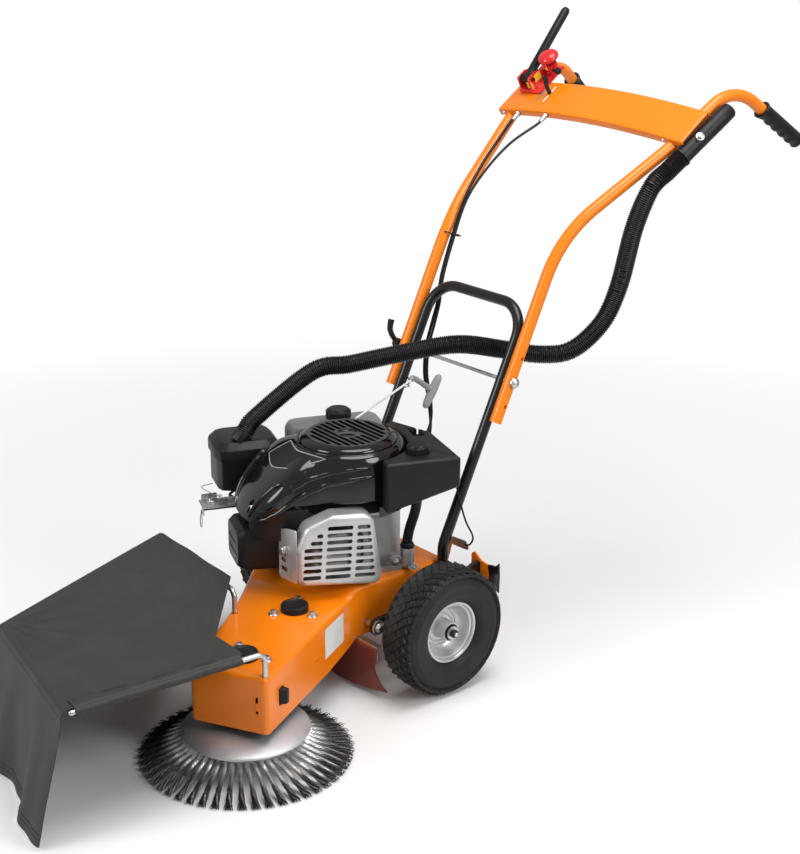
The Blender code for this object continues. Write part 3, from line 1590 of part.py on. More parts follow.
BRACKET_LEFT = -0.232
BRACKET_RIGHT = -0.198
LEVER_PIVOT = (0.072, 0.048)
BUTTON = (-0.182, 0.122)
BUTTON_STEM = 0.012
LEVER_WAY_Y = 0.116
CHEEK = 0.003
BRACKET_INNER = -0.168
BRACKET_BASE = CONSOLE_SEAT + CONSOLE_SHEET + arch_height(BRACKET_INNER) * math.cos(SLOPE) + FIT


def lock_bracket():
    """Two cheeks for the clutch lever on a base, and the boss of the lock button."""
    base_low = BRACKET_BASE
    under = []
    for k in range(4):
        x = BRACKET_LEFT + (BRACKET_INNER - BRACKET_LEFT) * k / 3
        under.append((x, CONSOLE_SEAT + CONSOLE_SHEET + arch_height(x) * math.cos(SLOPE) + FIT))
    section = [*under, (BRACKET_INNER, base_low + 0.003), (BRACKET_LEFT, base_low + 0.003)]
    base = front_plate(section, 0.088, 0.096)
    body = keep(base, "lock_bracket", RED_PLASTIC, CONSOLE)
    for x in (BRACKET_LEFT, BRACKET_RIGHT - CHEEK):
        outline = [
            (0.056, base_low + 0.001),
            (0.120, base_low + 0.001),
            (0.112, LEVER_PIVOT[1] - 0.004),
            (0.086, LEVER_PIVOT[1] + 0.010),
            (0.060, LEVER_PIVOT[1] + 0.010),
        ]
        cheek = side_plate(outline, CHEEK, x + CHEEK / 2)
        fuse(body, tool(cheek, CONSOLE))
    boss = cylinder((*BUTTON, base_low + 0.001), 0.026, 0.0125, sides=14)
    fuse(body, tool(boss, CONSOLE))
    pin_hole = cylinder((BRACKET_LEFT - 0.01, *LEVER_PIVOT), 0.06, 0.004 + RUNNING_FIT, "X", 10)
    stem_hole = cylinder((*BUTTON, base_low + 0.007), 0.03, 0.005 + RUNNING_FIT, sides=12)
    side = CHEEK + 0.0005
    lever_way = box((BRACKET_LEFT + side, LEVER_WAY_Y, 0.0), (BRACKET_RIGHT - side, 0.15, LEVER_PIVOT[1]))
    for piece in (pin_hole, stem_hole, lever_way):
        cut(body, tool(piece, CONSOLE))


def clutch_lever():
    """The hold-down bar: it turns on a pin between the cheeks."""
    middle = (BRACKET_LEFT + BRACKET_RIGHT) / 2
    centre = empty("Clutch_axis", (middle, *LEVER_PIVOT), CONSOLE)
    half = (BRACKET_RIGHT - BRACKET_LEFT) / 2 - CHEEK - FIT
    hub = keep(cylinder((-half, 0, 0), half * 2, 0.010, "X", 12), "clutch_lever", SATIN_BLACK, centre)
    pin = cylinder((BRACKET_LEFT - middle - 0.003, 0, 0), BRACKET_RIGHT - BRACKET_LEFT + 0.006, 0.004, "X", 8)
    fuse(hub, tool(pin, centre))
    angle = math.radians(50.8) - SLOPE
    ahead = Vector((0, math.cos(angle), math.sin(angle)))
    bar = tube([ahead * 0.004, ahead * 0.030, ahead * 0.175, ahead * 0.182], 0.0095, 2, [0.9, 1.0, 1.0, 0.7])
    fuse(hub, tool(applied(bar), centre))


def lock_button():
    base = BRACKET_BASE + 0.027
    profile = [
        (0.0, base + 0.026),
        (0.010, base + 0.0245),
        (0.0165, base + 0.019),
        (0.0175, base + 0.013),
        (0.013, base + 0.008),
        (0.005, base + 0.008),
        (0.005, base - BUTTON_STEM),
        (0.0, base - BUTTON_STEM),
    ]
    keep(turned(profile, 14), "lock_button", RED_PLASTIC, CONSOLE, (*BUTTON, 0))


console()
throttle_lever()
lock_bracket()
clutch_lever()
lock_button()


# Air duct on the left handle tube, hose, cables and starter rope
HOSE_R = 0.0195
HOSE_GROOVE_R = 0.0172
HOSE_BORE_R = 0.0140
HOSE_RIBS = 30
HOSE_BORE_STEPS = 27
CABLE_R = 0.0033
CABLE_STEP = 0.046
ROPE_R = 0.0022


def intake_duct():
    """A pipe closed at its upper end, with an inlet slot on its outer side."""
    start, end = duct_line()
    ahead = (end - start).normalized()
    pipe = applied(tube([start, end], DUCT_R, 3))
    pipe = keep(pipe, "intake_duct", SATIN_BLACK, HANDLE, FROM_HANDLE)
    bore = applied(tube([start - ahead * 0.01, end - ahead * 0.004], DUCT_BORE_R, 3))
    cut(pipe, tool(bore, ROOT))
    mouth = box((0.0, -0.007, DUCT_LENGTH - 0.050), (0.04, 0.007, DUCT_LENGTH - 0.012))
    cut(pipe, tool(mouth, ROOT, start, aim(start, end)))


def hose_route():
    aim_low = Vector(HOSE_AIM)
    low = Vector(HOSE_START) + aim_low * FIT
    start, end = duct_line()
    ahead = (end - start).normalized()
    high = start - ahead * FIT
    middle = [
        low + aim_low * 0.040,
        (-0.128, -0.030, 0.571),
        (-0.090, 0.035, 0.582),
        (-0.030, 0.125, 0.602),
        (0.030, 0.215, 0.6165),
        (0.080, 0.298, 0.601),
        (0.130, 0.352, 0.592),
        (0.172, 0.400, 0.602),
        (0.200, 0.455, 0.655),
        (0.213, 0.487, 0.730),
        (0.230, 0.505, 0.850),
        (0.249, 0.528, 0.930),
        high - ahead * 0.040,
    ]
    return held_route([low, *middle, high])


def intake_hose():
    """A ribbed hose: a point on each ridge and each groove, with a plain bore."""
    path = hose_route()
    route = spread(path, HOSE_RIBS * 2)
    radii = [1.0 if k % 2 else HOSE_GROOVE_R / HOSE_R for k in range(len(route))]
    hose = keep(applied(tube(route, HOSE_R, 2, radii)), "intake_hose", RUBBER, ROOT)
    core = spread(path, HOSE_BORE_STEPS)
    core[0] += (core[0] - core[1]).normalized() * 0.01
    core[-1] += (core[-1] - core[-2]).normalized() * 0.01
    cut(hose, tool(applied(tube(core, HOSE_BORE_R, 2)), ROOT))


def cable(name, points, radius, look):
    first, *bend, last = held_route(points)
    route = [first, *spread(bend, round(route_length(bend) / CABLE_STEP)), last]
    keep(applied(tube(route, radius, 1)), name, look, ROOT)


def cables():
    clutch = [
        console_point(-0.1986, -FIT, 0.0145),
        console_point(-0.1986, -0.026, 0.0145),
        (-0.180, 0.520, 0.966),
        (-0.162, 0.455, 0.922),
        (-0.147, 0.393, 0.860),
        (-0.1442, 0.352, 0.775),
        (-0.1442, 0.330, 0.715),
        (-0.1425, 0.320, 0.680),
        (-0.1370, 0.310, 0.650),
        (-0.1370, 0.296, 0.610),
        (-0.1370, 0.280, 0.560),
        (-0.1360, 0.275, 0.500),
        (-0.1350, 0.287, 0.433),
        (-0.130, 0.288, 0.375),
        (-0.122, 0.262, 0.305),
        (-0.112, 0.200, 0.262),
        (-0.108, 0.140, 0.256),
        (-0.106, 0.100, 0.250),
        (-0.105, 0.090, 0.232),
        (-0.105, 0.090, PLATFORM_Z + FIT),
    ]
    cable("clutch_cable", clutch, CABLE_R, SATIN_BLACK)
    throttle = [
        console_point(-0.1105, -FIT, 0.0235),
        console_point(-0.1105, -0.026, 0.0235),
        (-0.125, 0.500, 0.967),
        (-0.136, 0.440, 0.915),
        (-0.138, 0.388, 0.856),
        (-0.1360, 0.350, 0.775),
        (-0.1360, 0.328, 0.715),
        (-0.1340, 0.318, 0.680),
        (-0.1290, 0.309, 0.650),
        (-0.1285, 0.296, 0.610),
        (-0.1285, 0.280, 0.560),
        (-0.1275, 0.275, 0.500),
        (-0.1265, 0.287, 0.433),
        (-0.120, 0.276, 0.385),
        (-0.112, 0.225, 0.338),
        (-0.112, 0.165, 0.320),
        (-0.126, 0.100, 0.316),
        (-0.155, 0.030, 0.322),
        (-0.195, -0.050, 0.330),
        (-0.222, -0.120, 0.328),
        tuple(engine_point(-0.152, -0.205, 0.3191)),
        tuple(engine_point(-0.132 - FIT, -0.205, 0.3191)),
    ]
    cable("throttle_cable", throttle, CABLE_R * 0.85, SATIN_BLACK)


ROPE_START = (-0.0437, 0.0112)
ROPE_END = (-0.1160, 0.2200, 0.5020)


def starter():
    """The rope from the grille to the T grip that rests against the leg's eye."""
    start = Vector((*ROPE_START, BLOWER_TOP + 0.0115 + 2 * FIT + ROPE_R))
    end = Vector(ROPE_END)
    keep(applied(tube([start, end], ROPE_R, 2)), "starter_rope", ROPE_WHITE, ROOT)
    ahead = (end - start).normalized()
    hub = end + ahead * FIT
    middle = Vector((-0.110, 0.2752, 0.4690))
    bends = [hub, hub + ahead * 0.012, middle]
    stem = keep(applied(tube(bends, 0.0065, 2, [0.8, 0.9, 1.1])), "starter_grip", GREY_PLASTIC, ROOT)
    bar = Vector((0.0, 0.54, 0.84)).normalized()
    ends = [middle - bar * 0.040, middle - bar * 0.024, middle, middle + bar * 0.024, middle + bar * 0.036]
    fuse(stem, tool(applied(tube(ends, 0.0095, 2, [0.9, 0.95, 1.1, 0.85, 0.75])), ROOT))


intake_duct()
intake_hose()
cables()
starter()


# Debris guard: two rods in the deck's holes and a coated cloth over them
ROD_Z = 0.240
ROD_FOOT_Z = 0.150
GUARD_APEX = (-0.271, -0.309)
GUARD_CORNER = (-0.108, -0.752)
GUARD_TIP = (0.238, -0.824)
CLOTH = 0.0015


def guard_rods():
    front = [(*ROD_HOLE_FRONT, ROD_FOOT_Z), (*ROD_HOLE_FRONT, ROD_Z), (*GUARD_TIP, ROD_Z)]
    rod = tube(rounded(front, 0.016, 3), ROD_R, 2)
    keep(applied(rod), "guard_front_rod", ZINC, ROOT)
    rear = [(*ROD_HOLE_LEFT, ROD_FOOT_Z)]
    rear += [(*corner, ROD_Z) for corner in (ROD_HOLE_LEFT, GUARD_APEX, GUARD_CORNER)]
    rod = tube(rounded(rear, 0.016, 3), ROD_R, 2)
    keep(applied(rod), "guard_rear_rod", ZINC, ROOT)


def between(values, share):
    """The value at a share of 0 to 2 along three values."""
    first = min(int(share), 1)
    return Vector(values[first]).lerp(Vector(values[first + 1]), share - first)


def guard_cloth():
    """The cloth lies over both rods, then hangs in front and on the far side in soft folds."""
    top = ROD_Z + ROD_R + CLOTH + 0.0020
    edge = [GUARD_TIP, GUARD_CORNER, GUARD_APEX]
    inner = [(0.262, -0.492), (0.176, -0.489), (-0.010, -0.325)]
    out = [Vector((-0.20, -0.98)), Vector((-0.62, -0.78)), Vector((-0.92, -0.05))]
    reach = [(0.052, 0.0), (0.040, 0.0), (0.026, 0.0)]
    shoulder = ROD_R + CLOTH + 0.0042
    steps = 6
    bm = bmesh.new()
    grid = []
    for index in range(2 * steps + 1):
        share = index / steps
        point = between(edge, share)
        root = between(inner, share)
        away = between(out, share).normalized()
        flare = between(reach, share).x
        fold = 0.009 * math.sin(index * 1.55)
        line = [
            (*root, top),
            (*root.lerp(point, 0.5), top),
            (*point, top),
            (*(point + away * shoulder), ROD_Z + 0.001),
            (*(point + away * (shoulder + flare * 0.35 + fold * 0.4)), 0.150),
            (*(point + away * (shoulder + flare * 0.75 + fold)), 0.065),
            (*(point + away * (shoulder + flare + fold * 1.4)), 0.006),
        ]
        grid.append([bm.verts.new(corner) for corner in line])
    for first, second in zip(grid, grid[1:]):
        for k in range(len(first) - 1):
            bm.faces.new((first[k], first[k + 1], second[k + 1], second[k]))
    sheet = from_bmesh(bm)
    wall = sheet.modifiers.new("Wall", "SOLIDIFY")
    wall.thickness = CLOTH
    wall.offset = -1.0
    keep(sheet, "guard_cloth", FABRIC, ROOT)


guard_rods()
guard_cloth()
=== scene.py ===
# %% [markdown]
# # Dressing a weed brush machine
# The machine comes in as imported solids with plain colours: an engine on an orange deck, a cup
# brush, two wheels, a tall handle and a cloth guard. This file keeps each of them in its place.
# It gives them real finishes, swaps the coarse forms for fuller ones, and adds the small things
# a maker would add last: bolts, springs, seams, folds and tread.

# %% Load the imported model
import json
import math

import bpy
from mathutils import Euler, Matrix, Vector


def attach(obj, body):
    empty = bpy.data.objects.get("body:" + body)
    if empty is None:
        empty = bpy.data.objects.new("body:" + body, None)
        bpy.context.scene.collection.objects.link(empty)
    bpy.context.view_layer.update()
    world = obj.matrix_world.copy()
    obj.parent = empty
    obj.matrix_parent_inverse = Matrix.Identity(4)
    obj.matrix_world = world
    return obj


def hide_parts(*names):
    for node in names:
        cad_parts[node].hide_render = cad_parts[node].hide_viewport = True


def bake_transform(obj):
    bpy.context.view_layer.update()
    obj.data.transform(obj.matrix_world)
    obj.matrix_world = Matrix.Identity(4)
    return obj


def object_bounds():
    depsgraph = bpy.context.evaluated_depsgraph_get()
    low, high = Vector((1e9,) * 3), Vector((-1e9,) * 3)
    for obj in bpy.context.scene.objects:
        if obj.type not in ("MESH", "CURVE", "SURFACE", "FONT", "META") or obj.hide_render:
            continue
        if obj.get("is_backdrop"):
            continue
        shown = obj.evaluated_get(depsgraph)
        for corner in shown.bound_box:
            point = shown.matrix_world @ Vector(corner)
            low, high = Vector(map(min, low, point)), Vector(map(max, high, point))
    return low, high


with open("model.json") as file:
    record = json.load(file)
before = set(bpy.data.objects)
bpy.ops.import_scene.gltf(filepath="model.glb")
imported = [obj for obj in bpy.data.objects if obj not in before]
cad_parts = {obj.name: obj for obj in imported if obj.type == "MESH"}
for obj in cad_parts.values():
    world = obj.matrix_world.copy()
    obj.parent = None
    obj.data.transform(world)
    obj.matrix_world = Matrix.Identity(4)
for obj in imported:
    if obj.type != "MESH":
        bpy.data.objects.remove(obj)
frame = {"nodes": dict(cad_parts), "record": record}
CAD_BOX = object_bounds()
NODES = frame["nodes"]
BODY_OF = {node: body for body, nodes in frame["record"]["behaviour"]["bodies"].items() for node in nodes}
SLOT_OF = {entry["node"]: entry["material_slot"] for entry in frame["record"]["subparts"]}
print("nodes:", len(NODES), "box:", CAD_BOX)

# %% [markdown]
# The camera comes first. Its height, aim and lens were worked out from things whose size is known:
# both wheels, the handle's width and the round engine cover. The frame is 800 by 854 pixels, and
# the lens is the one whose focal length is 1706 of those pixels.

# %% Camera
LENS_PIXELS = 1706.5
FRAME_HEIGHT = 854
SENSOR = 36.0
MIDDLE = Vector((0.039, 0.0265, 0.0))
SIDE_ANGLE = math.radians(49.393)
DOWN_ANGLE = math.radians(19.842)
ROLL = math.radians(0.2511)


def machine(x, y, z):
    """A point measured from the middle of the wheel axle, on the ground."""
    return Vector((x, y, z)) - MIDDLE


CAMERA_PLACE = machine(2.4544, -2.0138, 1.6264)
lens = bpy.data.cameras.new("studio_camera")
lens.sensor_width = SENSOR
lens.lens = LENS_PIXELS * SENSOR / FRAME_HEIGHT
lens.clip_end = 60.0
camera = bpy.data.objects.new("studio_camera", lens)
bpy.context.scene.collection.objects.link(camera)
look_turn = Euler((math.pi / 2 - DOWN_ANGLE, 0, SIDE_ANGLE)).to_matrix() @ Matrix.Rotation(ROLL, 3, "Z")
camera.matrix_world = Matrix.Translation(CAMERA_PLACE) @ look_turn.to_4x4()
bpy.context.scene.camera = camera
bpy.context.scene.view_settings.view_transform = "Standard"
print("lens in millimetres:", round(lens.lens, 2))

# %% [markdown]
# The light is a bright, even studio: one big soft lamp above, and one on each side of the camera.
# The floor runs on without an edge. The world is white to the camera, and dimmer as a lamp and in
# reflections, so that black plastic stays black beside the white background.

# %% Floor, world and lamps
DIMMED = 0.46
LAMPS = (
    ("top_softbox", (0.6, 0.2, 3.4), (0, 0, 0.3), 2.2, 74),
    ("side_softbox", (2.8, 0.6, 2.0), (0, 0, 0.5), 1.4, 40),
    ("front_softbox", (-0.6, -3.2, 2.0), (0, 0, 0.4), 1.6, 52),
)
for name, place, target, size, power in LAMPS:
    light = bpy.data.lights.new(name, "AREA")
    light.shape = "DISK"
    light.size = size
    light.energy = power
    softbox = bpy.data.objects.new(name, light)
    bpy.context.scene.collection.objects.link(softbox)
    aim = (Vector(target) - Vector(place)).to_track_quat("-Z", "Y")
    softbox.matrix_world = Matrix.Translation(place) @ aim.to_matrix().to_4x4()

world = bpy.data.worlds.new("studio")
bpy.context.scene.world = world
world.use_nodes = True
sky = world.node_tree
sky.nodes.clear()
path = sky.nodes.new("ShaderNodeLightPath")
dim = sky.nodes.new("ShaderNodeBackground")
white = sky.nodes.new("ShaderNodeBackground")
for background, strength in ((dim, DIMMED), (white, 1.0)):
    background.inputs["Strength"].default_value = strength
    background.inputs["Color"].default_value = (1, 1, 1, 1)
choose = sky.nodes.new("ShaderNodeMixShader")
sky.links.new(path.outputs["Is Camera Ray"], choose.inputs[0])
sky.links.new(dim.outputs[0], choose.inputs[1])
sky.links.new(white.outputs[0], choose.inputs[2])
ending = sky.nodes.new("ShaderNodeOutputWorld")
sky.links.new(choose.outputs[0], ending.inputs["Surface"])

bpy.ops.object.select_all(action="DESELECT")
bpy.ops.mesh.primitive_plane_add(size=24, location=(0, 0, -0.0005))
floor = bpy.context.object
floor.name = "floor"
floor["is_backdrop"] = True
print("lamps:", len(bpy.data.lights))

# %% [markdown]
# Finishes are written as sums. A small class wraps a shader socket, so that an expression such as
# `1 - mask * 0.3` adds its own Math nodes. All other nodes come from one method of the finish.

# %% Shader sums
class Value:
    """A shader socket that works like a number."""

    def __init__(self, finish, socket):
        self.finish = finish
        self.socket = socket

    def sum(self, operation, first, second):
        return self.finish.node("ShaderNodeMath", {"operation": operation}, {0: first, 1: second})

    def __add__(self, other):
        return self.sum("ADD", self, other)

    def __sub__(self, other):
        return self.sum("SUBTRACT", self, other)

    def __rsub__(self, other):
        return self.sum("SUBTRACT", other, self)

    def __mul__(self, other):
        return self.sum("MULTIPLY", self, other)

    __radd__ = __add__
    __rmul__ = __mul__


class Finish:
    """One material: a Principled shader and the nodes that feed it."""

    def __init__(self, name, colour, roughness, metallic=0.0, **sockets):
        self.material = bpy.data.materials.new(name)
        self.material.use_nodes = True
        self.tree = self.material.node_tree
        self.shader = self.tree.nodes["Principled BSDF"]
        self.colour = (*colour, 1.0)
        self.wears(Base_Color=self.colour, Roughness=roughness, Metallic=metallic, **sockets)

    def put(self, node, sockets):
        for key, value in sockets.items():
            if isinstance(value, Value):
                self.tree.links.new(value.socket, node.inputs[key])
            else:
                node.inputs[key].default_value = value

    def wears(self, **sockets):
        """Sets the shader's sockets by their names, with _ for a blank."""
        self.put(self.shader, {key.replace("_", " "): value for key, value in sockets.items()})
        return self.material

    def node(self, kind, settings=None, sockets=None, out=0):
        added = self.tree.nodes.new(kind)
        for key, value in (settings or {}).items():
            setattr(added, key, value)
        self.put(added, sockets or {})
        return Value(self, added.outputs[out])

    def place(self):
        return self.node("ShaderNodeTexCoord", out="Object")

    def noise(self, scale, detail=3.0, roughness=0.5):
        sockets = {"Vector": self.place(), "Scale": scale, "Detail": detail, "Roughness": roughness}
        return self.node("ShaderNodeTexNoise", None, sockets)

    def ramp(self, value, low, high):
        """0 below low, 1 above high."""
        sockets = {"Value": value, "From Min": low, "From Max": high}
        return self.node("ShaderNodeMapRange", {"clamp": True}, sockets)

    def blend(self, mask, first, second):
        """First colour where the mask is 0, second where it is 1."""
        return self.node("ShaderNodeMix", {"data_type": "RGBA"}, {0: mask, 6: first, 7: second}, 2)

    def bump(self, height, strength, distance):
        sockets = {"Height": height, "Strength": strength, "Distance": distance}
        self.wears(Normal=self.node("ShaderNodeBump", None, sockets))


def shade(colour, factor, lift=0.0):
    """A darker or paler neighbour of a colour, with its alpha."""
    return (*(min(1.0, part * factor + lift) for part in colour), 1.0)


print("finish helpers ready")

# %% [markdown]
# The floor is matt and pale under the machine, where it takes the shadow. Further out it turns
# into plain white, by its distance from the machine, so no edge of the room shows.

# %% Floor finish
paper = Finish("studio_floor", (0.8, 0.8, 0.8), 0.85)
from_middle = paper.node("ShaderNodeVectorMath", {"operation": "LENGTH"}, {0: paper.place()}, 1)
fade = paper.ramp(from_middle + paper.noise(1.5, 1.0) * 0.12, 0.75, 2.3)
seen = paper.node("ShaderNodeLightPath")
far_white = paper.blend(seen, (DIMMED, DIMMED, DIMMED, 1), (1, 1, 1, 1))
glow = paper.node("ShaderNodeEmission", None, {"Color": far_white, "Strength": 1.0})
surface = Value(paper, paper.shader.outputs[0])
mixed = paper.node("ShaderNodeMixShader", None, {0: fade, 1: surface, 2: glow})
paper.put(paper.tree.nodes["Material Output"], {"Surface": mixed})
floor.data.materials.append(paper.material)
print("floor finish made")

# %% [markdown]
# The orange is a powder coat: even and glossy, with a faint orange-peel skin. Two noises do it: a
# broad one that moves the tone by a few hundredths, and a fine one for the skin.

# %% Orange and black powder coats
def powder_coat(name, colour, roughness, peel=0.01):
    coat = {"Coat_Weight": 0.2, "Coat_Roughness": 0.1, "Specular_IOR_Level": 0.35}
    finish = Finish(name, colour, roughness, **coat)
    tone = finish.ramp(finish.noise(6.0, 2.0), 0.3, 0.7)
    rough = finish.noise(60.0, 4.0) * 0.1 + (roughness - 0.05)
    finish.bump(finish.noise(420.0, 1.0), peel, 0.00012)
    return finish.wears(Base_Color=finish.blend(tone, shade(colour, 0.93), finish.colour), Roughness=rough)


ORANGE = powder_coat("orange_powder_coat", (0.86, 0.205, 0.002), 0.3)
BLACK_COAT = powder_coat("black_powder_coat", (0.006, 0.006, 0.0065), 0.3)
print("powder coats made")

# %% [markdown]
# Plastic parts differ in their skin. The fan housing is polished, so it is nearly plain with
# a light haze. Caps, covers and the air filter have a moulded grain of tiny cells.

# %% Plastics
def polished_plastic(name, colour):
    coat = {"Coat_Weight": 0.3, "Coat_Roughness": 0.04, "Specular_IOR_Level": 0.4}
    finish = Finish(name, colour, 0.1, **coat)
    haze = finish.ramp(finish.noise(9.0, 5.0, 0.6), 0.45, 0.75)
    return finish.wears(Roughness=haze * 0.1 + 0.07)


def grained_plastic(name, colour, roughness=0.42, cells=1700.0, depth=0.25):
    finish = Finish(name, colour, roughness, Specular_IOR_Level=0.28)
    cell = finish.node("ShaderNodeTexVoronoi", None, {"Vector": finish.place(), "Scale": cells})
    finish.bump(cell, depth, 0.0002)
    tone = finish.ramp(finish.noise(14.0, 3.0), 0.3, 0.7)
    rough = finish.noise(45.0, 3.0) * 0.12 + (roughness - 0.06)
    paler = shade(colour, 1.25, 0.002)
    return finish.wears(Base_Color=finish.blend(tone, finish.colour, paler), Roughness=rough)


GLOSS_BLACK = polished_plastic("gloss_black_plastic", (0.0035, 0.0035, 0.004))
BLACK_PLASTIC = grained_plastic("black_plastic", (0.0065, 0.0065, 0.007))
GREY_PLASTIC = grained_plastic("grey_plastic", (0.19, 0.195, 0.2), 0.38)
BARE_LABEL = grained_plastic("bare_label_film", (0.62, 0.62, 0.6), 0.45, depth=0.06)
PALE_GREY = grained_plastic("pale_grey_plastic", (0.3, 0.31, 0.31), 0.42)
RED_PLASTIC = polished_plastic("red_plastic", (0.6, 0.016, 0.014))
YELLOW_PLASTIC = polished_plastic("yellow_plastic", (0.8, 0.5, 0.02))
print("plastics made")

# %% [markdown]
# Rubber is dull and picks up dust. The tyres carry a grey bloom of dust in patches. Hose and grips are cleaner
# and a little shinier.

# %% Rubber
def rubber(name, colour, roughness, dust):
    finish = Finish(name, colour, roughness, Specular_IOR_Level=0.3)
    cloud = finish.ramp(finish.noise(22.0, 6.0, 0.65), 0.45, 0.75)
    finish.bump(finish.noise(700.0, 3.0), 0.35, 0.0003)
    rough = cloud * 0.1 + (roughness - 0.05)
    dusty = shade(colour, 1.1, 0.022)
    return finish.wears(Base_Color=finish.blend(cloud * dust, finish.colour, dusty), Roughness=rough)


TYRE_RUBBER = rubber("tyre_rubber", (0.0105, 0.01, 0.0095), 0.6, 0.45)
BLACK_RUBBER = rubber("black_rubber", (0.0055, 0.0055, 0.006), 0.4, 0.25)
FLAP_RUBBER = rubber("flap_rubber", (0.2, 0.04, 0.028), 0.42, 0.6)
print("rubbers made")

# %% [markdown]
# Bare and plated metals: zinc plate is bright with soft spangles, cast aluminium is dull and
# grainy, the rims and the muffler guard are silver paint, and the wire of the brush is dark steel.

# %% Metals
def spangled(name, colour, roughness, cells):
    finish = Finish(name, colour, roughness, 1.0)
    sockets = {"Vector": finish.place(), "Scale": cells}
    cell = finish.node("ShaderNodeTexVoronoi", {"distance": "CHEBYCHEV"}, sockets, 1)
    grey = finish.node("ShaderNodeRGBToBW", None, {0: cell})
    rough = grey * 0.14 + finish.noise(30.0, 4.0) * 0.1 + (roughness - 0.1)
    return finish.wears(Base_Color=finish.blend(grey, shade(colour, 0.72), finish.colour), Roughness=rough)


def cast_metal(name, colour, roughness, grain, metallic=0.9, depth=0.5):
    finish = Finish(name, colour, roughness, metallic)
    finish.bump(finish.noise(grain, 4.0, 0.7), depth, 0.0004)
    cloud = finish.ramp(finish.noise(18.0, 4.0), 0.3, 0.75)
    rough = cloud * 0.14 + (roughness - 0.07)
    return finish.wears(Base_Color=finish.blend(cloud, shade(colour, 0.75), finish.colour), Roughness=rough)


ZINC = spangled("zinc_plate", (0.66, 0.66, 0.65), 0.34, 260.0)
GALVANISED = spangled("galvanised_steel", (0.6, 0.61, 0.62), 0.42, 70.0)
ALUMINIUM = cast_metal("cast_aluminium", (0.56, 0.56, 0.55), 0.48, 900.0)
STEEL = cast_metal("bare_steel", (0.3, 0.29, 0.28), 0.38, 500.0, 1.0, 0.2)
SILVER = cast_metal("silver_paint", (0.66, 0.66, 0.66), 0.36, 1500.0, 0.65, 0.15)
print("metals made")

# %% [markdown]
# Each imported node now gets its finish. The record names a slot for every node, so one table from
# slot to finish covers them all.

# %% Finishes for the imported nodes
FINISH_OF = {
    "orange_paint": ORANGE,
    "black_paint": BLACK_COAT,
    "silver_paint": SILVER,
    "gloss_black_plastic": GLOSS_BLACK,
    "black_plastic": BLACK_PLASTIC,
    "grey_plastic": GREY_PLASTIC,
    "red_plastic": RED_PLASTIC,
    "tyre_rubber": TYRE_RUBBER,
    "black_rubber": BLACK_RUBBER,
    "flap_rubber": FLAP_RUBBER,
    "zinc": ZINC,
    "steel": STEEL,
    "aluminium": ALUMINIUM,
}
SLOT_OF_FINISH = {finish.name: slot for slot, finish in FINISH_OF.items()}
for name, node in NODES.items():
    finish = FINISH_OF.get(SLOT_OF[name])
    if finish:
        node.data.materials.clear()
        node.data.materials.append(finish)
print("finishes on nodes:", len(NODES))

# %% [markdown]
# The next helpers are the hand moves that every piece uses. `take` selects one piece alone,
# `modify` adds a modifier and applies it, `outline` extrudes a line of points from one vertex, and
# `turned` spins such a line round the Z axis, as a lathe would.

# %% Hand moves
def take(piece):
    if bpy.context.object and bpy.context.object.mode != "OBJECT":
        bpy.ops.object.mode_set(mode="OBJECT")
    bpy.ops.object.select_all(action="DESELECT")
    if piece:
        piece.select_set(True)
        bpy.context.view_layer.objects.active = piece
    return piece


def modify(piece, kind, **settings):
    take(piece)
    bpy.ops.object.modifier_add(type=kind)
    step = piece.modifiers[-1]
    for key, value in settings.items():
        setattr(step, key, value)
    bpy.ops.object.modifier_apply(modifier=step.name)
    return piece


def unmarked(piece):
    """Deselects every point, edge and face of a piece."""
    for part in (piece.data.vertices, piece.data.edges, piece.data.polygons):
        part.foreach_set("select", [False] * len(part))


def edit(piece, chosen=None):
    """Goes into edit mode with all faces selected, or those whose middle and normal pass."""
    take(piece)
    if chosen:
        unmarked(piece)
        for face in piece.data.polygons:
            face.select = bool(chosen(face.center, face.normal))
    bpy.ops.object.mode_set(mode="EDIT")
    bpy.ops.mesh.select_mode(type="FACE")
    if not chosen:
        bpy.ops.mesh.select_all(action="SELECT")
    return piece


def tidy(piece, merge=0.00001):
    edit(piece)
    bpy.ops.mesh.remove_doubles(threshold=merge)
    bpy.ops.mesh.normals_make_consistent(inside=False)
    return take(piece)


def walled(piece, thickness, offset=0.0, even=False):
    """Gives a sheet its thickness: inwards with an offset of -1, or half to each side with 0."""
    return modify(piece, "SOLIDIFY", thickness=thickness, offset=offset, use_even_offset=even)


def smooth(piece, angle=35):
    take(piece)
    bpy.ops.object.shade_smooth_by_angle(angle=math.radians(angle))
    return piece


def bevelled(piece, width, segments=2, angle=30):
    limit = math.radians(angle)
    return modify(piece, "BEVEL", width=width, segments=segments, limit_method="ANGLE", angle_limit=limit)


def settle(piece, matrix=None):
    """Moves a piece to its place and leaves that place in the mesh."""
    take(piece)
    if matrix:
        piece.matrix_world = matrix @ piece.matrix_world
    bpy.ops.object.transform_apply(location=True, rotation=True, scale=True)
    return piece


def outline(points, closed=False):
    take(None)
    bpy.ops.mesh.primitive_plane_add(size=0.01, location=points[0])
    piece = settle(bpy.context.object)
    bpy.ops.object.mode_set(mode="EDIT")
    bpy.ops.mesh.select_mode(type="VERT")
    bpy.ops.mesh.select_all(action="SELECT")
    bpy.ops.mesh.merge(type="CENTER")
    for before, after in zip(points, points[1:]):
        bpy.ops.mesh.extrude_region_move(TRANSFORM_OT_translate={"value": Vector(after) - Vector(before)})
    if closed:
        bpy.ops.mesh.select_all(action="SELECT")
        bpy.ops.mesh.edge_face_add()
    return piece


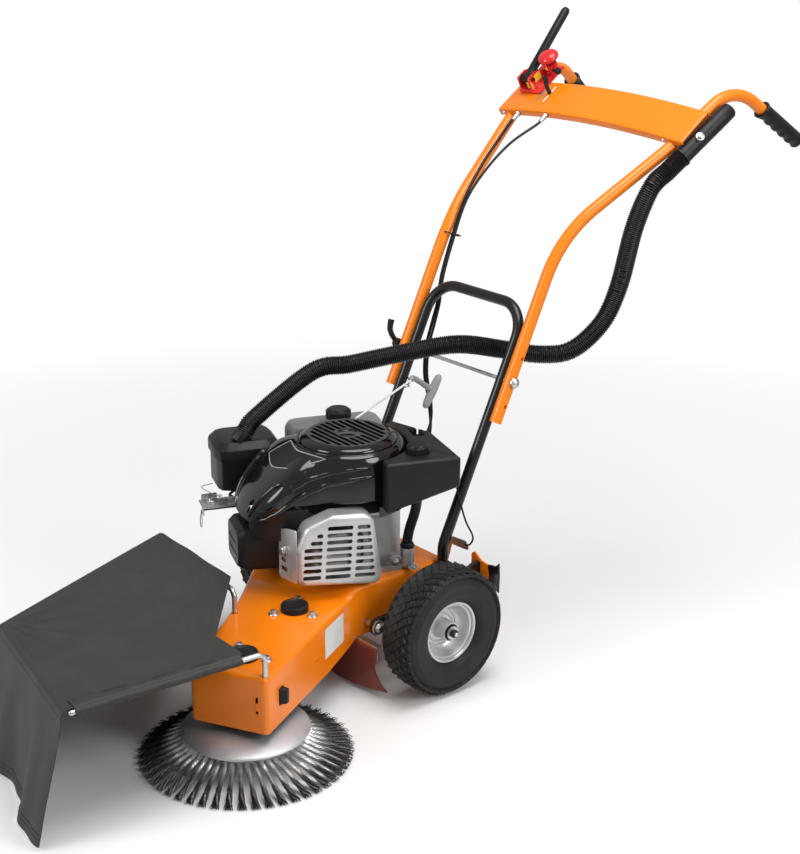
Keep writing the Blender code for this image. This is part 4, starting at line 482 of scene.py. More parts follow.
def turned(profile, steps=48, closed=False, angle=35):
    """A lathe piece from points of radius and height."""
    ends = [*profile, profile[0]] if closed else profile
    piece = outline([(radius, 0, height) for radius, height in ends])
    bpy.ops.mesh.select_all(action="SELECT")
    bpy.ops.mesh.spin(steps=steps, angle=math.tau, center=(0, 0, 0), axis=(0, 0, 1))
    return smooth(tidy(piece), angle)


def plate(points, depth):
    """A flat plate from (x, y) points, as thick as depth, standing on z = 0."""
    piece = outline([(x, y, 0) for x, y in points], closed=True)
    bpy.ops.mesh.extrude_region_move(TRANSFORM_OT_translate={"value": (0, 0, depth)})
    return tidy(piece)


def block(low, high):
    take(None)
    low, high = Vector(low), Vector(high)
    bpy.ops.mesh.primitive_cube_add(size=1, location=(low + high) / 2)
    piece = bpy.context.object
    piece.scale = high - low
    return settle(piece)


def slab(low, high, edge, segments=2):
    """A block with rounded edges."""
    return bevelled(block(low, high), edge, segments)


def tube(points, radius, radii=None, sides=6, cyclic=False):
    """A round bar along points: a curve with a bevel, turned into a mesh with closed ends."""
    take(None)
    bpy.ops.curve.primitive_bezier_curve_add()
    curve = bpy.context.object
    curve.data.splines.clear()
    line = curve.data.splines.new("POLY")
    line.points.add(len(points) - 1)
    for index, place in enumerate(points):
        line.points[index].co = (*place, 1)
        line.points[index].radius = radii[index] if radii else 1.0
    line.use_cyclic_u = cyclic
    curve.data.dimensions = "3D"
    curve.data.twist_mode = "MINIMUM"
    curve.data.bevel_depth = radius
    curve.data.bevel_resolution = sides
    curve.data.use_fill_caps = not cyclic
    settle(curve)
    bpy.ops.object.convert(target="MESH")
    return smooth(tidy(bpy.context.object), 50)


def joined(pieces):
    take(None)
    for piece in pieces:
        piece.select_set(True)
    bpy.context.view_layer.objects.active = pieces[0]
    bpy.ops.object.join()
    return bpy.context.object


def twin(piece, matrix):
    """A copy with its own mesh, at another place."""
    take(piece)
    bpy.ops.object.duplicate(linked=False)
    return settle(bpy.context.object, matrix)


def discard(*pieces):
    """Throws away forms and cutters that have done their work."""
    for piece in pieces:
        take(piece)
        bpy.ops.object.delete()


def carve(piece, *cutters):
    """Takes each cutter out of the piece and throws the cutter away."""
    for cutter in cutters:
        modify(piece, "BOOLEAN", operation="DIFFERENCE", object=cutter, solver="EXACT")
        discard(cutter)
    return take(piece)


def done(piece, name, finish, body, *replaced, slot=None):
    """Names a finished piece, gives it its finish, hangs it on the body it rides on and hides the nodes it
    stands for.

    A piece that crosses a joint gets two bodies and two points in place of one body, and is then left where it
    stands, on no body. The slot argument is not used."""
    settle(piece)
    piece.name = name
    piece.data.name = name
    piece.data.materials.clear()
    piece.data.materials.append(finish)
    if isinstance(body, str):
        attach(piece, body)
    else:
        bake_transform(piece)
    if replaced:
        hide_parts(*replaced)
    slot = slot or (SLOT_OF[replaced[0]] if replaced else SLOT_OF_FINISH.get(finish.name))
    return piece


def at(place, turn=None):
    """A placing matrix from a point and an optional turn."""
    return Matrix.Translation(place) @ (turn.to_4x4() if turn else Matrix())


def facing(direction):
    """The turn that points +Z along a direction."""
    return Vector(direction).to_track_quat("Z", "Y").to_matrix()


def clamped(value):
    return min(1.0, max(0.0, value))


print("helpers ready")

# %% [markdown]
# Routes are points too. `rounded` turns the corners of a bent tube into arcs, and `flowing` draws
# one smooth line through the points that a hose or cable passes. The routes below are the ones of
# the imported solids, so each fuller piece lies where its solid lies.

# %% Routes
def rounded(corners, radii, steps=10):
    """Corner points with a true arc of the given radius at each inner corner."""
    corners = [Vector(corner) for corner in corners]
    route = [corners[0]]
    for before, corner, after, radius in zip(corners, corners[1:], corners[2:], radii):
        back, ahead = (before - corner).normalized(), (after - corner).normalized()
        half = back.angle(ahead) / 2
        middle = corner + (back + ahead).normalized() * (radius / math.sin(half))
        start = corner + back * (radius / math.tan(half)) - middle
        end = corner + ahead * (radius / math.tan(half)) - middle
        sweep = start.angle(end)
        for k in range(steps + 1):
            share = k / steps
            reach = start * math.sin((1 - share) * sweep) + end * math.sin(share * sweep)
            route.append(middle + reach / math.sin(sweep))
    route.append(corners[-1])
    return route


def flowing(points, steps=8):
    """A smooth line through all points."""
    points = [Vector(point) for point in points]
    padded = [points[0] * 2 - points[1], *points, points[-1] * 2 - points[-2]]
    route = []
    for a, b, c, d in zip(padded, padded[1:], padded[2:], padded[3:]):
        for k in range(steps):
            t = k / steps
            near = (c - a) * 0.5
            far = (d - b) * 0.5
            route.append(
                b * (2 * t**3 - 3 * t**2 + 1)
                + near * (t**3 - 2 * t**2 + t)
                + c * (3 * t**2 - 2 * t**3)
                + far * (t**3 - t**2)
            )
    route.append(points[-1])
    return route


def even(route, spacing):
    """The same line with points at equal steps."""
    total = sum((b - a).length for a, b in zip(route, route[1:]))
    count = max(2, round(total / spacing))
    spaced, index, walked = [route[0]], 0, 0.0
    for k in range(1, count):
        goal = total * k / count
        while walked + (route[index + 1] - route[index]).length < goal:
            walked += (route[index + 1] - route[index]).length
            index += 1
        span = route[index + 1] - route[index]
        spaced.append(route[index] + span * ((goal - walked) / span.length))
    return [*spaced, route[-1]]


print("routes ready")

# %% [markdown]
# The starter rope is the one free cord: braided white nylon that comes out of the grille on the engine and stops
# in a grey T grip at a wire eye on the leg. The recoil holds it taut, so it is a straight tube. A spiral of
# small waves in the tube's radius stands for the braid.

# %% Starter rope
ROPE_DIAMETER = 0.0044
BRAID_STEP = 0.0022
BRAID_HEIGHT = 0.035
rope_low = machine(-0.0437, 0.0112, 0.4843)
rope_high = machine(-0.116, 0.22, 0.502)
rope_ahead = (rope_high - rope_low).normalized()

rope_finish = Finish("white_rope", (0.78, 0.77, 0.74), 0.7)
sockets = {"Vector": rope_finish.place(), "Scale": 170.0}
braid = rope_finish.node("ShaderNodeTexWave", {"bands_direction": "DIAGONAL"}, sockets, 1)
fuzz = rope_finish.noise(900.0, 3.0)
rope_finish.bump(braid + fuzz * 0.4, 0.6, 0.0005)
rope_tone = rope_finish.blend(braid * 0.35, (0.8, 0.79, 0.76, 1), (0.52, 0.51, 0.48, 1))
ROPE = rope_finish.wears(Base_Color=rope_tone)

rope_points = even([rope_low, rope_high], BRAID_STEP)
sizes = [1.0 + BRAID_HEIGHT * math.cos(k * math.pi) for k in range(len(rope_points))]
rope = tube(rope_points, ROPE_DIAMETER / 2, sizes, 4)
rope = done(rope, "rope_from_engine", ROPE, ("chassis", "starter", rope_low, rope_high), slot="rope")

# %% [markdown]
# The grip is a moulded T. Its bar is rounder in the middle and thins to both ends, and its stem
# flows into it, so both start as bent tubes that are fused by a fine voxel remesh.

# %% T grip
FIT = 0.0003
BAR_STEPS = 24
BAR_LENGTH = 0.0785
BAR_END = 0.0375
hub = rope_high + rope_ahead * FIT
grip_middle = machine(-0.11, 0.2752, 0.469)
grip_bar = Vector((0.0, 0.54, 0.84)).normalized()


def bar_size(k):
    """Thick in the middle, thinner outwards, and domed at both ends."""
    belly = 1.06 - 0.3 * abs(2 * k / BAR_STEPS - 1) ** 1.5
    dome = min(1.0, 0.55 + 0.45 * min(k, BAR_STEPS - k) / 2)
    return max(0.35, belly * dome)


stem_line = flowing([hub, hub + rope_ahead * 0.012, grip_middle], 6)
stem_sizes = [0.8 + 0.25 * k / (len(stem_line) - 1) for k in range(len(stem_line))]
steps = range(BAR_STEPS + 1)
bar_line = [grip_middle + grip_bar * (BAR_END - BAR_LENGTH * (1 - k / BAR_STEPS)) for k in steps]
stem = tube(stem_line, 0.0065, stem_sizes, 5)
grip = joined([stem, tube(bar_line, 0.0095, [bar_size(k) for k in steps], 6)])
modify(grip, "REMESH", mode="VOXEL", voxel_size=0.0011)
modify(grip, "SMOOTH", iterations=6)
smooth(grip, 60)
grip = done(grip, "starter_t_grip", PALE_GREY, "starter", "starter_grip")
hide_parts("starter_rope")
print("grip faces:", len(grip.data.polygons))

# %% [markdown]
# Frames of reference. The brush arm, the engine and the console each have their own place and
# turn, and the measures of their pieces are taken there. Every piece is made in one of these
# frames and then settled, so that its place ends up in its mesh.

# %% Places of the arm, the engine, the wheels and the console
UP = Vector((0, 0, 1))
UPRIGHT = Matrix.Rotation(math.pi / 2, 3, "X")
SIDEWAYS = Matrix.Rotation(math.pi / 2, 3, "Y")
WHEEL_X = 0.235
AXLE_HEIGHT = 0.13
ENGINE_MIDDLE = (0.004, -0.048)
ARM_YAW = math.atan2(0.454, 0.891)
SLOPE = math.atan2(0.1096, 0.1566)
ARM = at(machine(0.19, -0.44, 0), Matrix.Rotation(ARM_YAW, 3, "Z"))
ENGINE = at(machine(*ENGINE_MIDDLE, 0), Matrix.Rotation(-0.396, 3, "Z"))
CONSOLE = at(machine(0, 0.604, 1.0), Matrix.Rotation(SLOPE, 3, "X"))


def wheel_place(side):
    return at(machine(side * WHEEL_X, 0, AXLE_HEIGHT), Matrix.Rotation(side * math.pi / 2, 3, "Y"))


def arm_point(across, back, height=0.0):
    return ARM @ Vector((across, back, height))


def engine_point(x, y, z):
    return ENGINE @ Vector((x, y, z))


def console_point(x, y, z):
    return CONSOLE @ Vector((x, y, z))


print("frames ready")

# %% [markdown]
# Bolts and nuts come up all over the machine. A flanged hex bolt is made once for each size: its
# flange is a lathe piece, and its head is a cylinder of six sides with bevelled edges. Each place
# gets a copy with its own mesh.

# %% Bolts and nuts
def hexagon(radius, low, high):
    take(None)
    middle = (0, 0, (low + high) / 2)
    bpy.ops.mesh.primitive_cylinder_add(vertices=6, radius=radius, depth=high - low, location=middle)
    return bevelled(settle(bpy.context.object), radius * 0.09, 2, 50)


def scaled(profile, size):
    return [(radius * size, height * size) for radius, height in profile]


def flange_bolt(size):
    """A hex bolt head with its flange; size is across its corners."""
    rim = scaled([(0.7, 0.06), (0.66, 0.12), (0, 0.26)], size)
    flange = turned([(0, 0.0002), (size * 0.66, 0.0002), *rim], 28)
    return joined([flange, hexagon(size * 0.5, size * 0.05, size * 0.52)])


def nut_on_stud(size):
    """A nut on a washer with the stud's end standing out of it."""
    washer = turned(scaled([(0, 0), (0.8, 0), (0.82, 0.05), (0.8, 0.12), (0, 0.12)], size), 28)
    nut = hexagon(size * 0.5, size * 0.12, size * 0.55)
    stud = turned(scaled([(0, 0), (0.27, 0), (0.27, 0.74), (0.21, 0.8), (0, 0.8)], size), 20)
    return joined([washer, nut, stud])


def fastener(kind, name, size, places, body, finish=ZINC):
    """Copies of one fastener at points with directions, joined into one piece."""
    form = kind(size)
    copies = [twin(form, at(place, facing(way))) for place, way in places]
    discard(form)
    return done(smooth(joined(copies)), name, finish, body, slot="zinc")


print("fasteners ready")

# %% [markdown]
# Bent tubes: the black hoop that is both legs, and the two orange handle tubes outside them. The
# packed tubes have few sides, so they are drawn again along the same corners, with round
# sections and smooth bends. Round cutters drill the spare clamp holes of the handle tubes.

# %% Hoop and handle tubes
LEG_X = 0.1348
HANDLE_X = 0.1589
HANDLE_RADIUS = 0.0125
HANDLE_BENDS = (0.3, 0.5, 0.09)
LEG_SLOPE = Vector((0, 0.216, 0.454)).normalized()
CLAMP = (0.2395, 0.5645)
leg = [(LEG_X, 0.089, 0.125), (LEG_X, 0.089, 0.246), (LEG_X, 0.305, 0.7)]
hoop_corners = leg + [(-x, y, z) for x, y, z in reversed(leg)]
hoop_line = rounded([machine(*corner) for corner in hoop_corners], [0.06, 0.065, 0.065, 0.06], 12)
done(tube(hoop_line, 0.011, None, 7), "leg_hoop_tube", BLACK_COAT, "chassis", "leg_hoop")


def drill(place, radius, way=UP, depth=0.05, steps=32):
    """A round cutter through a point."""
    take(None)
    bpy.ops.mesh.primitive_cylinder_add(vertices=steps, radius=radius, depth=depth)
    return settle(bpy.context.object, at(place, facing(way)))


def handle_corners(side):
    clamp = machine(side * HANDLE_X, *CLAMP)
    low, high = clamp - LEG_SLOPE * 0.086, clamp + LEG_SLOPE * 0.305
    bends = [machine(side * 0.23, 0.604, 1.0), machine(side * 0.25, 0.7606, 1.1096)]
    return [low, high, *bends, machine(side * 0.295, 0.928, 0.98)]


for name, side in (("left", 1), ("right", -1)):
    corners = handle_corners(side)
    corners[-1] -= (corners[-1] - corners[-2]).normalized() * 0.006
    bar = tube(rounded(corners, HANDLE_BENDS, 14), HANDLE_RADIUS, None, 8)
    clamp = machine(side * (HANDLE_X + HANDLE_RADIUS), *CLAMP)
    for reach in (-0.05, 0.05):
        carve(bar, drill(clamp + LEG_SLOPE * reach, 0.0038, (1, 0, 0), 0.012, 24))
    done(smooth(bar, 40), name + "_handle_bar", ORANGE, "handle", name + "_handle_tube")
print("hoop points:", len(hoop_line))

# %% [markdown]
# The rubber grips have finger hollows on their lower side only. Each grip is turned on the lathe
# with many rings, then the rings' lower half is drawn in where a finger lies.

# %% Grips
GRIP_LENGTH = 0.125
FINGER_STEP = 0.0225
RING_STEP = 0.0044


def hand_grip(name, side):
    corners = handle_corners(side)
    end = corners[-1]
    ahead = (end - corners[-2]).normalized()
    start = end - ahead * GRIP_LENGTH
    profile = [(0.0129, 0.0), (0.0185, 0.0), (0.0192, 0.0012), (0.0185, 0.0045), (0.0172, 0.006)]
    profile += [(0.0166, 0.0075 + 0.0022 * k) for k in range(50)]
    profile += [(0.016, 0.1195), (0.0142, 0.123), (0.01, 0.1247), (0.0, GRIP_LENGTH)]
    piece = turned(profile, 40, False, 60)
    turn = facing(ahead)
    under = turn.inverted() @ Vector((0, 0, -1))
    under = Vector((under.x, under.y, 0)).normalized()
    for vertex in piece.data.vertices:
        along, out = vertex.co.z, Vector((vertex.co.x, vertex.co.y, 0))
        if 0.007 < along < 0.118 and out.length > 0.014:
            low = max(0.0, out.normalized().dot(under))
            hollow = 0.5 - 0.5 * math.cos((along - 0.01) / FINGER_STEP * math.tau)
            ring = 0.0004 * math.cos(along / RING_STEP * math.tau)
            reach = out.length - 0.003 * hollow * low**0.7 + ring * (1 - low)
            vertex.co = (*(out.normalized() * reach).xy, along)
    settle(piece, at(start, turn))
    return done(piece, name + "_hand_grip", BLACK_RUBBER, "handle", name + "_grip")


for name, side in (("left", 1), ("right", -1)):
    hand_grip(name, side)
print("grips made")

# %% [markdown]
# The intake hose is a black spiral-ribbed hose from the air filter up to the duct on the handle.
# Both ends are held, so it is one tube whose radius rises and falls every four millimetres. It crosses the
# handle's joint, from the chassis to the handle.

# %% Intake hose
DUCT_RADIUS = 0.0205
HOSE_RADIUS = 0.0193
HOLD = 0.04
RIB = (1.0, 0.99, 0.9, 0.89)


def duct_line():
    """Start, direction and side of the duct, which lies beside the near handle tube."""
    corners = handle_corners(1)
    ahead = (corners[3] - corners[2]).normalized()
    side = Vector((0.9, 0.0, -0.44)).normalized()
    side = (side - ahead * side.dot(ahead)).normalized()
    start = corners[2] - ahead * 0.012 + side * (HANDLE_RADIUS + DUCT_RADIUS + FIT)
    return start, ahead, side


duct_start, duct_ahead, duct_side = duct_line()
hose_aim = Vector((0.1545, 0.6833, 0.7136))
hose_low = machine(-0.1822, -0.1627, 0.458) + hose_aim * FIT
hose_high = duct_start - duct_ahead * FIT
HOSE_POINTS = (
    (-0.128, -0.03, 0.571), (-0.09, 0.035, 0.582), (-0.03, 0.125, 0.602), (0.03, 0.215, 0.6165),
    (0.08, 0.298, 0.601), (0.13, 0.352, 0.592), (0.172, 0.4, 0.602), (0.2, 0.455, 0.655),
    (0.213, 0.487, 0.73), (0.23, 0.505, 0.85), (0.249, 0.528, 0.93),
)
hose_middle = [machine(*point) for point in HOSE_POINTS]
hose_ends = hose_low + hose_aim * HOLD, hose_high - duct_ahead * HOLD
hose_route = flowing([hose_low, hose_ends[0], *hose_middle, hose_ends[1], hose_high], 10)
hose_line = even(hose_route, 0.001)
hose = tube(hose_line, HOSE_RADIUS, [RIB[k % 4] for k in range(len(hose_line))], 8)
hose_span = ("chassis", "handle", hose_middle[0], hose_middle[8])
done(hose, "ribbed_intake_hose", BLACK_RUBBER, hose_span, "intake_hose")
print("hose length:", round(sum((b - a).length for a, b in zip(hose_line, hose_line[1:])), 3))

# %% [markdown]
# The two control cables run from the console down the far handle tube. They are plain black casings held at both
# ends, with zinc ferrules at the console. They too run across the joint.

# %% Control cables
CLUTCH_POINTS = (
    (-0.18, 0.52, 0.966), (-0.162, 0.455, 0.922), (-0.147, 0.393, 0.86), (-0.1442, 0.352, 0.775),
    (-0.1442, 0.33, 0.715), (-0.1425, 0.32, 0.68), (-0.137, 0.31, 0.65), (-0.137, 0.296, 0.61),
    (-0.137, 0.28, 0.56), (-0.136, 0.275, 0.5), (-0.135, 0.287, 0.433), (-0.13, 0.288, 0.375),
    (-0.122, 0.262, 0.305), (-0.112, 0.2, 0.262), (-0.108, 0.14, 0.256), (-0.106, 0.1, 0.25),
    (-0.105, 0.09, 0.232), (-0.105, 0.09, 0.2123),
)
THROTTLE_POINTS = (
    (-0.125, 0.5, 0.967), (-0.136, 0.44, 0.915), (-0.138, 0.388, 0.856), (-0.136, 0.35, 0.775),
    (-0.136, 0.328, 0.715), (-0.134, 0.318, 0.68), (-0.129, 0.309, 0.65), (-0.1285, 0.296, 0.61),
    (-0.1285, 0.28, 0.56), (-0.1275, 0.275, 0.5), (-0.1265, 0.287, 0.433), (-0.12, 0.276, 0.385),
    (-0.112, 0.225, 0.338), (-0.112, 0.165, 0.32), (-0.126, 0.1, 0.316), (-0.155, 0.03, 0.322),
    (-0.195, -0.05, 0.33), (-0.222, -0.12, 0.328),
)
FERRULE = (
    (0.0034, -0.003), (0.0048, -0.002), (0.0052, 0.004), (0.0046, 0.01), (0.004, 0.018), (0.0034, 0.019),
)
BEND_FROM, BEND_TO = 2, 8


def control_cable(name, node, x, z, points, ending, radius):
    """A casing from the console's front wall, with its ferrule and nut; x and z are its hole there."""
    route = [console_point(x, y, z) for y in (-FIT, -0.026)] + [machine(*place) for place in points] + ending
    piece = tube(even(flowing(route, 8), 0.006), radius, None, 4)
    span = ("handle", "chassis", machine(*points[BEND_FROM]), machine(*points[BEND_TO]))
    done(piece, name, BLACK_PLASTIC, span, node)
    way = route[1] - route[0]
    ahead = way.normalized()
    sleeve = settle(turned(FERRULE, 24, True), at(route[0] + ahead * 0.003, facing(way)))
    done(sleeve, name + "_ferrule", ZINC, "handle")
    nut = settle(hexagon(0.0072, -0.0035, 0.0), at(route[0] + ahead * 0.0045, facing(way)))
    done(nut, name + "_nut", ZINC, "handle")


carb_ends = [engine_point(x, -0.205, 0.3191) for x in (-0.152, -0.1323)]
control_cable("brush_clutch_cable", "clutch_cable", -0.1986, 0.0145, CLUTCH_POINTS, [], 0.0033)
control_cable("engine_throttle_cable", "throttle_cable", -0.1105, 0.0235, THROTTLE_POINTS, carb_ends, 0.0028)
print("cables made")

# %% [markdown]
# A nylon tie bundles the cables on the far handle tube: a loop round tube and cables, with the lock
# head and the cut end beside it. The loop is a closed tube along an oval.

# %% Cable tie
def oval(wide, high, steps, height=0.0):
    """Points of a flat ring of its own width and height."""
    angles = [math.tau * k / steps for k in range(steps)]
    return [Vector((wide * math.cos(a), high * math.sin(a), height)) for a in angles]


def cable_tie(name, middle, way, wide, high, body):
    loop = tube(oval(wide, high, 28), 0.0014, None, 3, True)
    head = slab((wide - 0.001, -0.003, -0.0022), (wide + 0.005, 0.003, 0.0022), 0.0006)
    tail = slab((wide + 0.003, -0.0006, -0.0013), (wide + 0.012, 0.0006, 0.0013), 0.0003)
    done(settle(joined([loop, head, tail]), at(middle, facing(way))), name, BLACK_PLASTIC, body)


tie_way = machine(*CLUTCH_POINTS[4]) - machine(*CLUTCH_POINTS[2])
cable_tie("upper_cable_tie", machine(-0.15, 0.357, 0.79), tie_way, 0.019, 0.0165, "handle")
print("tie made")

# %% [markdown]
# Wheels. A tyre is a smooth casing with a diamond tread. The casing is turned from one profile, and
# the rings on its sidewall are points of that profile.

# %% Tyre casing
CASING = (
    (0.0633, 0.0265), (0.065, 0.03), (0.07, 0.0342), (0.0712, 0.0356), (0.0724, 0.0362), (0.0745, 0.0372),
    (0.08, 0.0392), (0.089, 0.0403), (0.0975, 0.0404), (0.0987, 0.041), (0.1005, 0.041), (0.1015, 0.0402),
    (0.108, 0.039), (0.115, 0.0348), (0.1205, 0.0284), (0.1238, 0.02), (0.1254, 0.01), (0.1258, 0.0),
)
casing_profile = [*CASING, *[(radius, -across) for radius, across in reversed(CASING[:-1])]]
casing_profile += [(0.0633, -0.018), (0.112, 0.0), (0.0633, 0.018)]


def casing_height(across):
    """Radius of the casing and the lean of its surface at a distance from its middle."""
    across = abs(across)
    for (r0, a0), (r1, a1) in zip(CASING[9:], CASING[10:]):
        if a1 <= across <= a0 and a0 > a1:
            share = (across - a1) / (a0 - a1)
            return r1 + (r0 - r1) * share, math.atan2(r1 - r0, a0 - a1)
    return CASING[-1][0], 0.0


print("casing profile points:", len(casing_profile))

# %% [markdown]
# For the tread, one rubber block is modelled and copied in rows round the casing, each row half a
# step on from the last. Longer lugs stand along both shoulders.

# %% Tread blocks
TREAD_STEPS = 40
ROW_STEP = 0.0114
LUG_ROW = 0.0335
DIAMOND = (0.0104 * 1.414, 0.0116 * 1.25, 0.0058)
LUG_HIGH = (0.0066, 0.0089, 0.003)
take(None)
bpy.ops.mesh.primitive_cube_add(size=1)
tread_block = bpy.context.object
tread_block.scale = DIAMOND
settle(tread_block, Matrix.Rotation(math.pi / 4, 4, "Z"))
edit(tread_block, lambda middle, normal: normal.z > 0.9)
bpy.ops.transform.resize(value=(0.93, 0.93, 1))
bevelled(tread_block, 0.0006, 1, 40)
smooth(tread_block, 30)
lug = bevelled(block((-LUG_HIGH[0], -LUG_HIGH[1], -0.0034), LUG_HIGH), 0.0009, 1, 40)


def tread_row(form, across, offset):
    """Copies of a block round the casing, sunk a little into it and leant with its surface."""
    radius, lean = casing_height(across)
    tilt = Matrix.Rotation(-math.copysign(lean, across), 4, "Y") if across else Matrix()
    copies = []
    for k in range(TREAD_STEPS):
        turn = Matrix.Rotation(math.tau * (k + offset) / TREAD_STEPS, 4, "X")
        copies.append(twin(form, turn @ Matrix.Translation((across, 0, radius - 0.0004)) @ tilt))
    return joined(copies)


rows = [tread_row(tread_block, ROW_STEP * index, 0.5 * (index % 2)) for index in range(-2, 3)]
rows += [tread_row(lug, across, 0.5) for across in (-LUG_ROW, LUG_ROW)]
tread = settle(joined(rows), Matrix.Rotation(-math.pi / 2, 4, "Y"))
discard(tread_block, lug)
tyre_form = joined([turned(casing_profile, 96, True), tread])
print("tyre faces:", len(tyre_form.data.polygons))

# %% [markdown]
# The rim is a pressed steel dish in silver paint: a rolled lip, a deep cone, rings round the hub
# and the hub's tube. It is one lathe piece, seen from outside and from inside.

# %% Rim
RIM_PROFILE = (
    (0.0625, 0.0265), (0.0618, 0.0278), (0.06, 0.028), (0.058, 0.0272), (0.0568, 0.0255), (0.056, 0.0215),
    (0.053, 0.02), (0.05, 0.012), (0.0478, 0.006), (0.044, 0.0005), (0.0405, -0.003), (0.0385, -0.004),
    (0.0375, -0.0022), (0.0355, -0.0022), (0.0345, -0.0045), (0.031, -0.005), (0.03, -0.0028),
    (0.0275, -0.002), (0.0262, -0.004), (0.0212, -0.004), (0.02, -0.002), (0.0196, 0.0235), (0.0188, 0.025),
    (0.0108, 0.0252), (0.0108, -0.028), (0.0188, -0.028), (0.0196, -0.0265), (0.0205, -0.01),
    (0.0525, -0.014), (0.0565, -0.028), (0.06, -0.028), (0.0618, -0.0278), (0.0625, -0.0265),
    (0.0618, -0.018), (0.0618, 0.018),
)
rim_form = turned(RIM_PROFILE, 96, True, 28)
for name, side in (("left", 1), ("right", -1)):
    body = BODY_OF[name + "_wheel_rim"]
    done(twin(tyre_form, wheel_place(side)), name + "_block_tread_tyre", TYRE_RUBBER, body, name + "_wheel_tyre")
    done(twin(rim_form, wheel_place(side)), name + "_pressed_rim", SILVER, body, name + "_wheel_rim")
    bush = turned([(0.0109, 0.025), (0.0168, 0.025), (0.0168, 0.0262), (0.0109, 0.0262)], 32, True)
    settle(bush, wheel_place(side))
    done(bush, name + "_hub_bush", BLACK_PLASTIC, body)
discard(tyre_form, rim_form)
print("wheels made")

# %% [markdown]
# The brush. Its knots are twisted cables of steel wire, bright where the dish clamps them and dark
# towards their frayed ends. One knot is five strands that wind round each other, with loose wires
# round its end.

# %% One knot of twisted wire
KNOTS = 50
KNOT_START = Vector((0.096, 0.0, 0.0415))
KNOT_END = Vector((0.1955, 0.0, 0.0012))
KNOT_LEAN = math.radians(9)
KNOT_POINTS = 24
TWIST_FROM, FRAY_FROM = 0.18, 0.86
knot_side = Vector((0, 1, 0))
knot_up = (KNOT_END - KNOT_START).normalized().cross(knot_side) * -1


def wire_line(number, count, reach, turns, phase):
    """One of count wires that wind round the knot's middle line at a distance of reach."""
    points = []
    for k in range(KNOT_POINTS):
        share = k / (KNOT_POINTS - 1)
        middle = KNOT_START.lerp(KNOT_END, share)
        middle.y += math.tan(KNOT_LEAN) * (middle.x - KNOT_START.x)
        fray = 0.82 + 0.24 * share + 0.95 * max(0.0, share - FRAY_FROM) * 5
        swell = 1 + 0.1 * math.sin(share * 9)
        angle = phase + math.tau * (number / count + turns * max(0.0, share - TWIST_FROM))
        side = knot_side * math.cos(angle) + knot_up * math.sin(angle)
        points.append(middle + side * reach * fray * swell)
    return points


strands = [wire_line(k, 5, 0.0031, 3.3, 0.0) for k in range(5)]
loose = [wire_line(k, 6, 0.0046, 0.8, 0.4)[13:] for k in range(6)]
wires = [tube(line, 0.0021, [1.0] * 21 + [0.85, 0.5, 0.25], 0) for line in strands]
wires += [tube(line, 0.0009, [0.5, *([1.0] * 9), 0.6], 0) for line in loose]
knot = joined(wires)
print("faces in one knot:", len(knot.data.polygons))

# %% [markdown]
# Fifty copies of the knot stand in a ring, and no wire reaches below the ground. The finish goes
# from bright to dark with the distance from the brush's middle.

# %% Fifty knots
LOWEST = 0.0006
ROOT_RING = (
    (0.088, 0.0603), (0.099, 0.0581), (0.1135, 0.0528), (0.114, 0.049), (0.105, 0.04), (0.09, 0.04),
)
copies = [twin(knot, ARM @ Matrix.Rotation(math.tau * (k + 0.35) / KNOTS, 4, "Z")) for k in range(KNOTS)]
discard(knot)
brush = joined(copies)
for vertex in brush.data.vertices:
    vertex.co.z = max(vertex.co.z, LOWEST)
smooth(brush, 60)
brush = joined([brush, settle(turned(ROOT_RING, 64, True), ARM)])

wire = Finish("brush_wire", (0.105, 0.1, 0.095), 0.36, 0.9)
centre = arm_point(0, 0, 0.05)
away = wire.node("ShaderNodeVectorMath", {"operation": "DISTANCE"}, {0: wire.place(), 1: centre}, 1)
bright = wire.ramp(away, 0.162, 0.118)
knot_tone = wire.ramp(wire.noise(55.0, 2.0), 0.35, 0.65)
fine = wire.ramp(wire.noise(1300.0, 2.0), 0.42, 0.58)
dark = wire.blend(fine, (0.018, 0.017, 0.016, 1), (0.15, 0.142, 0.135, 1))
pale = wire.blend(knot_tone + fine * 0.4, (0.3, 0.3, 0.3, 1), (0.8, 0.8, 0.79, 1))
rough = wire.noise(400.0, 2.0) * 0.25 + 0.24
WIRE = wire.wears(Base_Color=wire.blend(bright * 0.9, dark, pale), Roughness=rough)
done(brush, "twisted_knot_brush", WIRE, "brush", "brush_wire")
print("brush faces:", len(brush.data.polygons))

# %% [markdown]
# The dish that clamps the knots is a pressed sheet, so it is a lathe piece with a wall of its own.

# %% Brush dish
DISH = (
    (0.0088, 0.082), (0.021, 0.082), (0.0222, 0.0812), (0.0262, 0.0735), (0.03, 0.0722), (0.054, 0.0712),
    (0.06, 0.07), (0.098, 0.063), (0.112, 0.058), (0.1168, 0.056), (0.1182, 0.0545), (0.1184, 0.0525),
    (0.1174, 0.0518), (0.115, 0.053), (0.099, 0.059), (0.054, 0.068), (0.022, 0.062), (0.0088, 0.062),
)
dish = settle(turned(DISH, 96, True, 40), ARM)
SATIN = cast_metal("satin_zinc_sheet", (0.62, 0.62, 0.64), 0.46, 240.0, 0.65, 0.04)
done(dish, "pressed_brush_dish", SATIN, "brush", "brush_dish")
print("dish faces:", len(dish.data.polygons))

# %% [markdown]
# The deck is one pressed sheet: a narrow arm over the brush that widens into the engine's
# platform. A grid of four by five points is moved to the sheet's corners, its ends are closed,
# the folds get a round bevel, and the wall gets its thickness.

